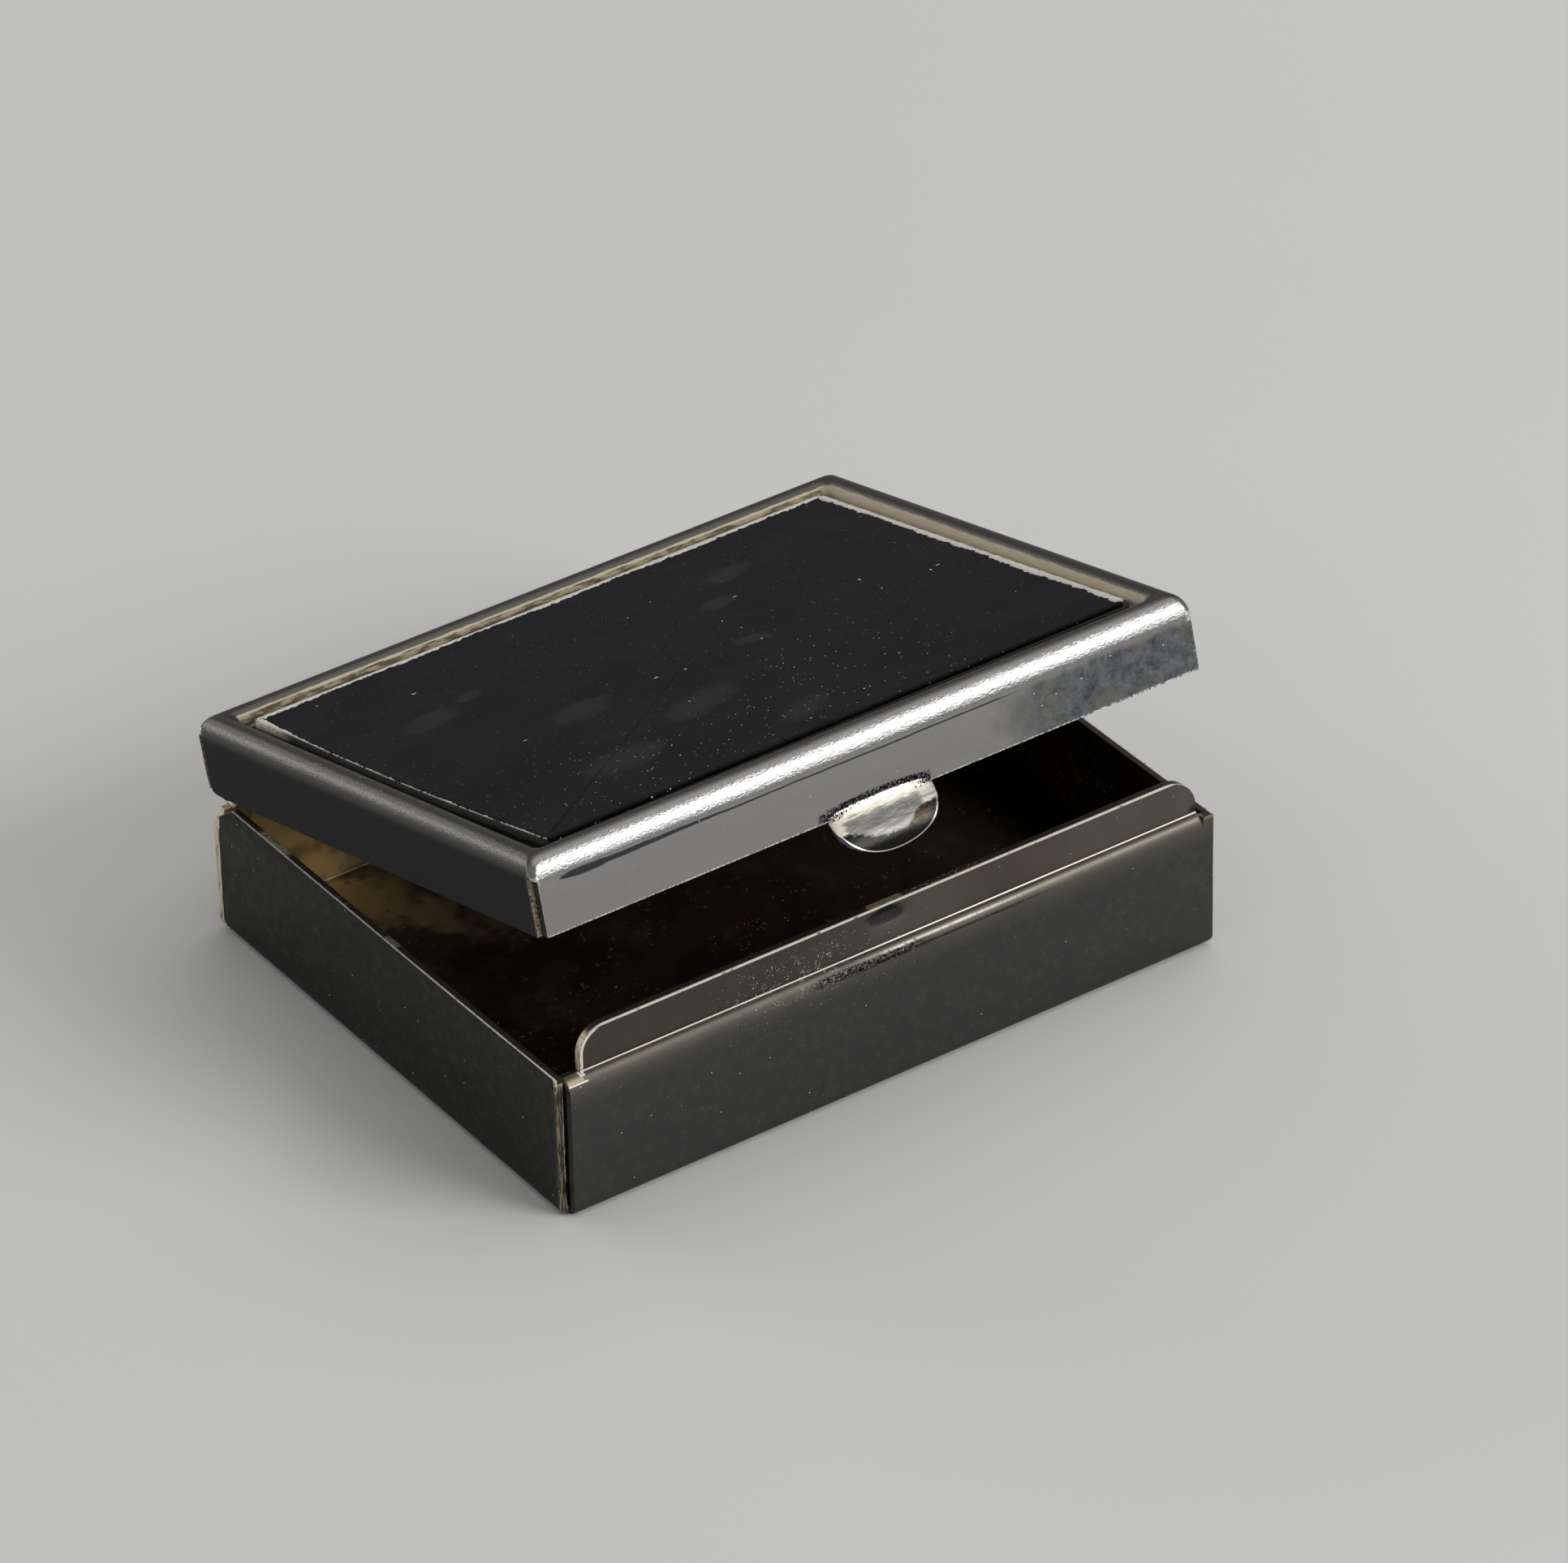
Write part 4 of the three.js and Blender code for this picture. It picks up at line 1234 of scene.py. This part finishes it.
    def _end_shoulder(self, points: np.ndarray) -> None:
        """Runs the shoulder on flat left of the lip, and keeps the wall upright right of it."""
        shoulder = np.flatnonzero(self.row["part"] == "shoulder")
        crease = np.flatnonzero(self.row["part"] == "crease")
        right = self.col["x"] > self.lip_right + 0.01
        left = self.col["x"] < self.lip_left - 0.01
        rise = np.linspace(self.height, self.height - self.shoulder_drop, len(shoulder))
        inner = self.front + self.lip_set + SHEET
        run = np.linspace(inner, points[shoulder[0], 0, 1], len(crease) + 1)[:-1]
        points[np.ix_(shoulder, right, [1])] = self.front
        points[np.ix_(shoulder, right, [2])] = rise[:, None, None]
        points[np.ix_(crease, left, [1])] = run[:, None, None]
        points[np.ix_(crease, left, [2])] = self.height

    def _shape_lip(self, points: np.ndarray) -> None:
        """Rounds the lip's two upper corners, presses the dimple in and adds unevenness.

        A row's width shrinks by what a quarter circle has left at its height. The dimple's
        depth is one minus the squared distance in its ellipse, raised to 1.5.
        """
        x, part = self.col["x"], self.row["part"]
        lip = np.flatnonzero(part == "lip")
        inside = (x > self.lip_left - 0.01) & (x < self.lip_right + 0.01)
        z = self.row["z"][lip][:, None]

        def taken(radius: float) -> np.ndarray:
            """What a quarter circle takes off a row's end."""
            above = np.clip(z - self.height - self.lip_height + radius, 0, radius)
            return radius - np.sqrt(radius**2 - above**2)

        x0, x1 = self.lip_left + taken(self.round_left), self.lip_right - taken(self.round_right)
        share = (x[inside][None] - self.lip_left) / (self.lip_right - self.lip_left)
        x = x0 + (x1 - x0) * share
        points[np.ix_(lip, inside, [0])] = x[..., None]
        cx, cz, rx, rz, depth = self.dimple
        far = ((x - cx) / rx) ** 2 + ((z - cz) / rz) ** 2
        pressed = depth * np.clip(1 - far, 0, 1) ** 1.5
        wave = np.abs(ripple(x, 3 * z, 0.01, 9))
        points[np.ix_(lip, inside, [1])] += (pressed + wave)[..., None]
        wall = part == "wall"
        lean = np.abs(ripple(points[..., 0], 2 * points[..., 2], 0.02, 7))[wall]
        up = (self.row["z"][wall] - self.bend) / (self.height - self.shoulder_drop - self.bend)
        points[wall, :, 1] += lean * np.sin(up * math.pi)[:, None]

    def _keep(self) -> np.ndarray:
        """The faces that the blank has: no corners beyond the bends, slits, and open ends."""
        x = (self.col["x"][1:] + self.col["x"][:-1]) / 2
        lower, upper = self.row["part"][:-1], self.row["part"][1:]
        wall_col = (self.col["up"][1:] > 0) | (self.col["up"][:-1] > 0)
        floor_col = self.col["floor"][1:] & self.col["floor"][:-1]
        bend_col = ~wall_col & ~floor_col
        flat = self._flat_rows()
        floor_face, upright = flat[:-1] & flat[1:], ~flat[:-1] & ~flat[1:]
        keep = np.zeros((len(lower), len(x)), dtype=bool)
        keep[:, floor_col] = True
        keep[floor_face, :] = True
        keep[np.ix_(upright & (upper != "back"), bend_col & (x > 0))] = True
        keep[np.ix_(upright & (lower == "back"), bend_col)] = True
        above = (lower == "lip") | (lower == "crease")
        keep[np.ix_(above, (x > self.lip_right) | ~floor_col)] = False
        keep[np.ix_(lower == "lip", x < self.lip_left)] = False
        keep[np.ix_(above, (x > self.lip_left - 0.06) & (x < self.lip_left))] = False
        return keep

    def build(self) -> bpy.types.Object:
        """Makes the piece and puts it on the base."""
        piece = make_piece(
            "base_folding", self.surface(), SatinPlate().material(), Lacquer().material(),
            RawEdge().material())
        thicken(piece, 0.06)
        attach(piece, Body.BASE.value)
        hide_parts("base_tray")
        return piece


@dataclass
class Inlay:
    """The glossy plate in the recess and the glue that squeezes out round it."""

    x: Tuple[float, float] = (-22.7, 23.2)
    y: Tuple[float, float] = (-17.4, 18.25)
    corner: float = 0.35
    turn: float = math.radians(0.5)
    bow: float = 0.4
    bottom: float = 4.45
    thickness: float = 0.4
    edge: float = 0.09
    panel: float = 4.2
    step: float = 0.13

    def _outline(self) -> Tuple[np.ndarray, np.ndarray]:
        """Points and outward directions round the rounded rectangle, counter-clockwise.

        Straight runs are sampled by length and each corner by a quarter circle.

        Returns:
            The points of the outline and the outward directions.
        """
        middles = np.array([(1, -1), (1, 1), (-1, 1), (-1, -1)]) * [
            np.ptp(self.x) / 2 - self.corner, np.ptp(self.y) / 2 - self.corner]
        pieces, normals = [], []
        for k, middle in enumerate(middles):
            angle = quarter(11) + (k - 1) * RIGHT_ANGLE
            way = np.stack([np.cos(angle), np.sin(angle)], axis=-1)
            arc = middle + self.corner * way
            run = middles[(k + 1) % 4] + self.corner * way[-1] - arc[-1]
            steps = np.linspace(0, 1, int(np.linalg.norm(run) / self.step) + 2)[1:-1, None]
            pieces += [arc, arc[-1] + run * steps]
            normals += [way, np.repeat(way[-1:], len(steps), axis=0)]
        return join(*pieces), join(*normals)

    def _ringed(self, rings: np.ndarray, heights: np.ndarray) -> Surface:
        """Rings round the plate, bowed at the left, turned by the plate's small skew and lifted.

        Args:
            rings: plan points from the plate's middle, ring by ring.
            heights: their heights over the closed lid's skirt.

        Returns:
            The surface in the row frame, where the lid stands open.
        """
        c, s = math.cos(self.turn), math.sin(self.turn)
        u, v = rings[..., 0], rings[..., 1]
        bowed = self.bow * (1 - (v / (self.y[1] - self.y[0]) * 2) ** 2) * np.clip(-u - 20, 0, 1)
        x = (u - bowed) * c - v * s + sum(self.x) / 2
        y = u * s + v * c + sum(self.y) / 2
        points = np.stack([x, y, np.broadcast_to(heights, x.shape)], axis=-1)
        return Surface(opened(points), loop=True, capped=True)

    def build_plate(self) -> bpy.types.Object:
        """Makes the glossy plate: its outline carried up over a small rounded edge."""
        points, out = self._outline()
        rising, turning = self.edge * (1 - np.sin(quarter(6))), self.edge * (1 - np.cos(quarter(6)))
        inset = join(rising, turning, [self.edge + 0.3])
        top = self.bottom + self.thickness
        height = join(
            self.bottom + turning, top - self.edge + self.edge * np.sin(quarter(6)), [top])
        rings = points[None] - out[None] * inset[:, None, None]
        surface = self._ringed(rings, height[:, None])
        piece = make_piece("inlay_plate", surface, BlackGloss().material())
        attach(piece, Body.LID.value)
        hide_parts("lid_inlay")
        return piece

    def build_glue(self) -> bpy.types.Object:
        """Makes the glue: a thin sheet under the plate whose rim is ragged and swells outside it.

        The rim's reach past the plate is a side's own width times jagged waves. Along the back
        and the right it fills the gap and laps over the plate as a ragged film. Along the left
        the lap is a thin line that widens towards the back, and along the front there is none.
        """
        points, out = self._outline()
        pick = np.random.default_rng(11)
        turn = np.linspace(0, 1, len(points), endpoint=False) * 2 * math.pi
        waves = (17, 41, 73, 118, 190, 277)
        jag = sum(np.sin(turn * k + pick.uniform(0, 6.3)) for k in waves) / 4
        jag = jag + pick.normal(0, 0.3, len(turn))
        far = np.clip(np.maximum(out[:, 0], out[:, 1]), 0, 1)
        near = np.clip(-out[:, 1], 0, 1)
        left = np.clip(-out[:, 0], 0, 1) * (1 - far)
        corner = np.clip((points[:, 1] - 8) / 10, 0, 1) ** 2
        reach = 0.05 + 0.40 * np.maximum(far, left * corner**2) - 0.02 * near
        reach = np.clip(reach * (1 + 0.15 * jag), 0.02, 0.5)
        top = self.bottom + self.thickness
        crown = top - 0.04 - 0.28 * np.maximum(near, left * 0.3 * (1 - corner))
        slow = np.sin(turn * 9 + 1.0) * np.sin(turn * 5 + 2.0)
        wide = np.clip(0.36 + 0.13 * jag + 0.14 * slow, 0.06, 0.8)
        thin = np.clip(0.05 + 0.3 * corner + 0.07 * jag, 0.0, 0.5)
        over = np.maximum(
            np.clip(far - 0.6, 0, 0.4) / 0.4 * wide, np.clip(left - 0.6, 0, 0.4) / 0.4 * thin)
        film = np.where(over > 0, top + 0.025, crown)
        under = np.where(over > 0, top + 0.004, crown)
        low, base = self.panel + 0.01, self.bottom - 0.03
        profile = [
            (-0.6, low), (reach, low), (reach, low + 0.5 * (crown - low)),
            (0.75 * reach, low + 0.93 * (crown - low)), (0.02, np.maximum(crown, film)),
            (0.015 - over, film), (0.015 - over, under), (0.015, np.minimum(under, crown)),
            (0.015, base), (-0.5, base),
        ]
        grow, heights = (
            np.stack([np.broadcast_to(part, turn.shape) for part in parts])
            for parts in zip(*profile))
        surface = self._ringed(points + out * grow[..., None], heights)
        piece = make_piece("inlay_glue", surface, PaleGlue().material())
        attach(piece, Body.LID.value)
        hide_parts("inlay_adhesive")
        return piece


@dataclass
class Hinge:
    """Five rolled tubes on one wire."""

    radius: float = 1.1
    bore: float = 0.62
    wire: float = 0.54
    start: float = -25.1
    end: float = 25.1
    count: int = 5
    gap: float = 0.3
    proud: float = 0.12
    chamfer: float = 0.1
    slit: float = 0.14
    slit_angle: float = 5.2
    slit_spread: float = 0.06
    dome: float = 0.1

    def _turned(self, along: np.ndarray, radius: np.ndarray, groove: float = 0.0) -> np.ndarray:
        """A profile turned round the hinge line, with the slit of the rolled sheet at the back.

        Each ring's radius drops by the groove where its angle is near the slit.
        """
        angle = np.linspace(0, 2 * math.pi, 72, endpoint=False)[None]
        near = np.exp(-(((angle - self.slit_angle) / self.slit_spread) ** 2))
        reach = radius[:, None] - groove * near * (radius[:, None] > self.bore + 0.15)
        y = HINGE_LINE[1] + reach * np.cos(angle)
        z = HINGE_LINE[2] + reach * np.sin(angle)
        return np.stack([np.broadcast_to(along[:, None], y.shape), y, z], axis=-1)

    def build_tubes(self) -> List[bpy.types.Object]:
        """Makes the five tubes, odd ones on the base and even ones on the lid."""
        finish = HingeMetal("rolled_brass", (0.66, 0.54, 0.42), (0.22, 0.13, 0.08), 0.32).material()
        c, r, b = self.chamfer, self.radius, self.bore
        inset = np.array([0, c / 3, c])
        outside = np.array([r - c, r - c / 3, r])
        radius = join([b + c / 2], outside, outside[::-1], [b + c / 2, b, b, b + c / 2])
        length = (self.end - self.start - self.gap * (self.count - 1)) / self.count
        tubes = []
        for i in range(self.count):
            x0 = self.start + i * (length + self.gap)
            x1 = x0 + length
            along = join([x1], x1 - inset, x0 + inset[::-1], [x0, x0 + c / 2, x1 - c / 2, x1])
            surface = Surface(self._turned(along, radius, self.slit), loop=True)
            tube = make_piece(f"hinge_tube_{i + 1}", surface, finish)
            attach(tube, (Body.BASE if i % 2 == 0 else Body.LID).value)
            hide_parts(f"hinge_knuckle_{i + 1}")
            tubes.append(tube)
        return tubes

    def build_wire(self) -> bpy.types.Object:
        """Makes the wire, with its two ends upset into low domes."""
        finish = HingeMetal(
            "drawn_wire", (0.50, 0.49, 0.46), (0.22, 0.20, 0.17), 0.35, 0.2).material()
        x0, x1 = self.start - self.proud, self.end + self.proud
        bend = np.linspace(0.15, RIGHT_ANGLE, 6)
        along = join(
            x1 - self.dome * (1 - np.cos(bend)), x0 + self.dome * (1 - np.cos(bend[::-1])))
        radius = join(self.wire * np.sin(bend), self.wire * np.sin(bend[::-1]))
        surface = Surface(self._turned(along, radius), loop=True, capped=True)
        piece = make_piece("hinge_wire", surface, finish)
        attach(piece, Body.BASE.value)
        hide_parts("hinge_pin")
        return piece


# ------------------------------------------------------------------------ studio


@dataclass
class Lamp:
    """A soft white rectangular lamp that looks at the box."""

    name: str
    way: Tuple[float, float, float]
    distance: float
    size: Tuple[float, float]
    power: float

    def build(self) -> None:
        """Hangs the lamp."""
        data = bpy.data.lights.new(self.name, "AREA")
        data.shape = "RECTANGLE"
        data.size, data.size_y = self.size
        data.energy = self.power
        lamp = bpy.data.objects.new(self.name, data)
        way = Vector(self.way).normalized()
        lamp.location = way * self.distance
        lamp.rotation_euler = way.to_track_quat("Z", "Y").to_euler()
        bpy.context.scene.collection.objects.link(lamp)
        log.info("lamp %s", self.name)


@dataclass
class Studio:
    """Pale floor, soft light and the photograph's camera."""

    azimuth: float = -34.381
    elevation: float = 33.990
    roll: float = -1.359
    distance: float = 0.63051
    target: Tuple[float, float, float] = (0.008261, 0.003214, 0.007116)
    focal: float = 11570.7 / 1932
    ambient: float = 0.34

    def build_floor(self) -> None:
        """Lays the ground: a flat square grid."""
        side = np.linspace(-2000, 2000, 9)
        x, y = np.meshgrid(side, side)
        points = np.stack([x, y, np.full_like(x, -0.02)], axis=-1)
        floor = make_piece("ground", Surface(points), PaleFloor().material())

    def light(self) -> None:
        """Sets the world and hangs the lamps."""
        world = bpy.data.worlds.new("room")
        world.use_nodes = True
        background = world.node_tree.nodes["Background"]
        background.inputs["Color"].default_value = (1.0, 1.0, 1.0, 1.0)
        background.inputs["Strength"].default_value = self.ambient
        bpy.context.scene.world = world
        Lamp("window", (0.47, -0.72, 0.50), 0.9, (0.50, 0.36), 4.2).build()
        Lamp("overhead", (0.30, 0.10, 0.95), 1.0, (0.9, 0.9), 2.6).build()
        Lamp("back_left", (-0.50, 0.86, 0.15), 1.0, (0.34, 0.14), 1.7).build()
        Lamp("behind", (-0.19, 0.92, 0.34), 1.0, (0.34, 0.12), 0.7).build()

    def build_camera(self) -> None:
        """Sets the camera where the photograph was taken from."""
        az, el, roll = (math.radians(value) for value in (self.azimuth, self.elevation, self.roll))
        back = Vector((math.sin(az) * math.cos(el), -math.cos(az) * math.cos(el), math.sin(el)))
        right = (-back).cross(Vector((0, 0, 1))).normalized()
        up = right.cross(-back)
        across = math.cos(roll) * right + math.sin(roll) * up
        upward = -math.sin(roll) * right + math.cos(roll) * up
        data = bpy.data.cameras.new("camera")
        data.sensor_fit = "HORIZONTAL"
        data.sensor_width = 36.0
        data.lens = data.sensor_width * self.focal
        data.clip_start, data.clip_end = 0.01, 20.0
        camera = bpy.data.objects.new("camera", data)
        turned = Matrix((across, upward, back)).transposed().to_4x4()
        place = Matrix.Translation(Vector(self.target) + self.distance * back)
        camera.matrix_world = place @ turned
        bpy.context.scene.collection.objects.link(camera)
        bpy.context.scene.camera = camera


def main() -> None:
    """Builds the sub-assemblies in order and reports each piece."""
    logging.basicConfig(level=logging.INFO, format="%(name)s: %(message)s")
    bpy.context.scene.view_settings.view_transform = "Standard"
    studio, inlay, hinge = Studio(), Inlay(), Hinge()
    studio.build_camera()
    studio.build_floor()
    studio.light()
    pieces = [BaseTray().build(), LidShell().build(), inlay.build_plate(), inlay.build_glue()]
    pieces += hinge.build_tubes() + [hinge.build_wire()]
    for piece in pieces:
        log.info("piece %s: %d faces", piece.name, len(piece.data.polygons))


if __name__ == "__main__":
    main()
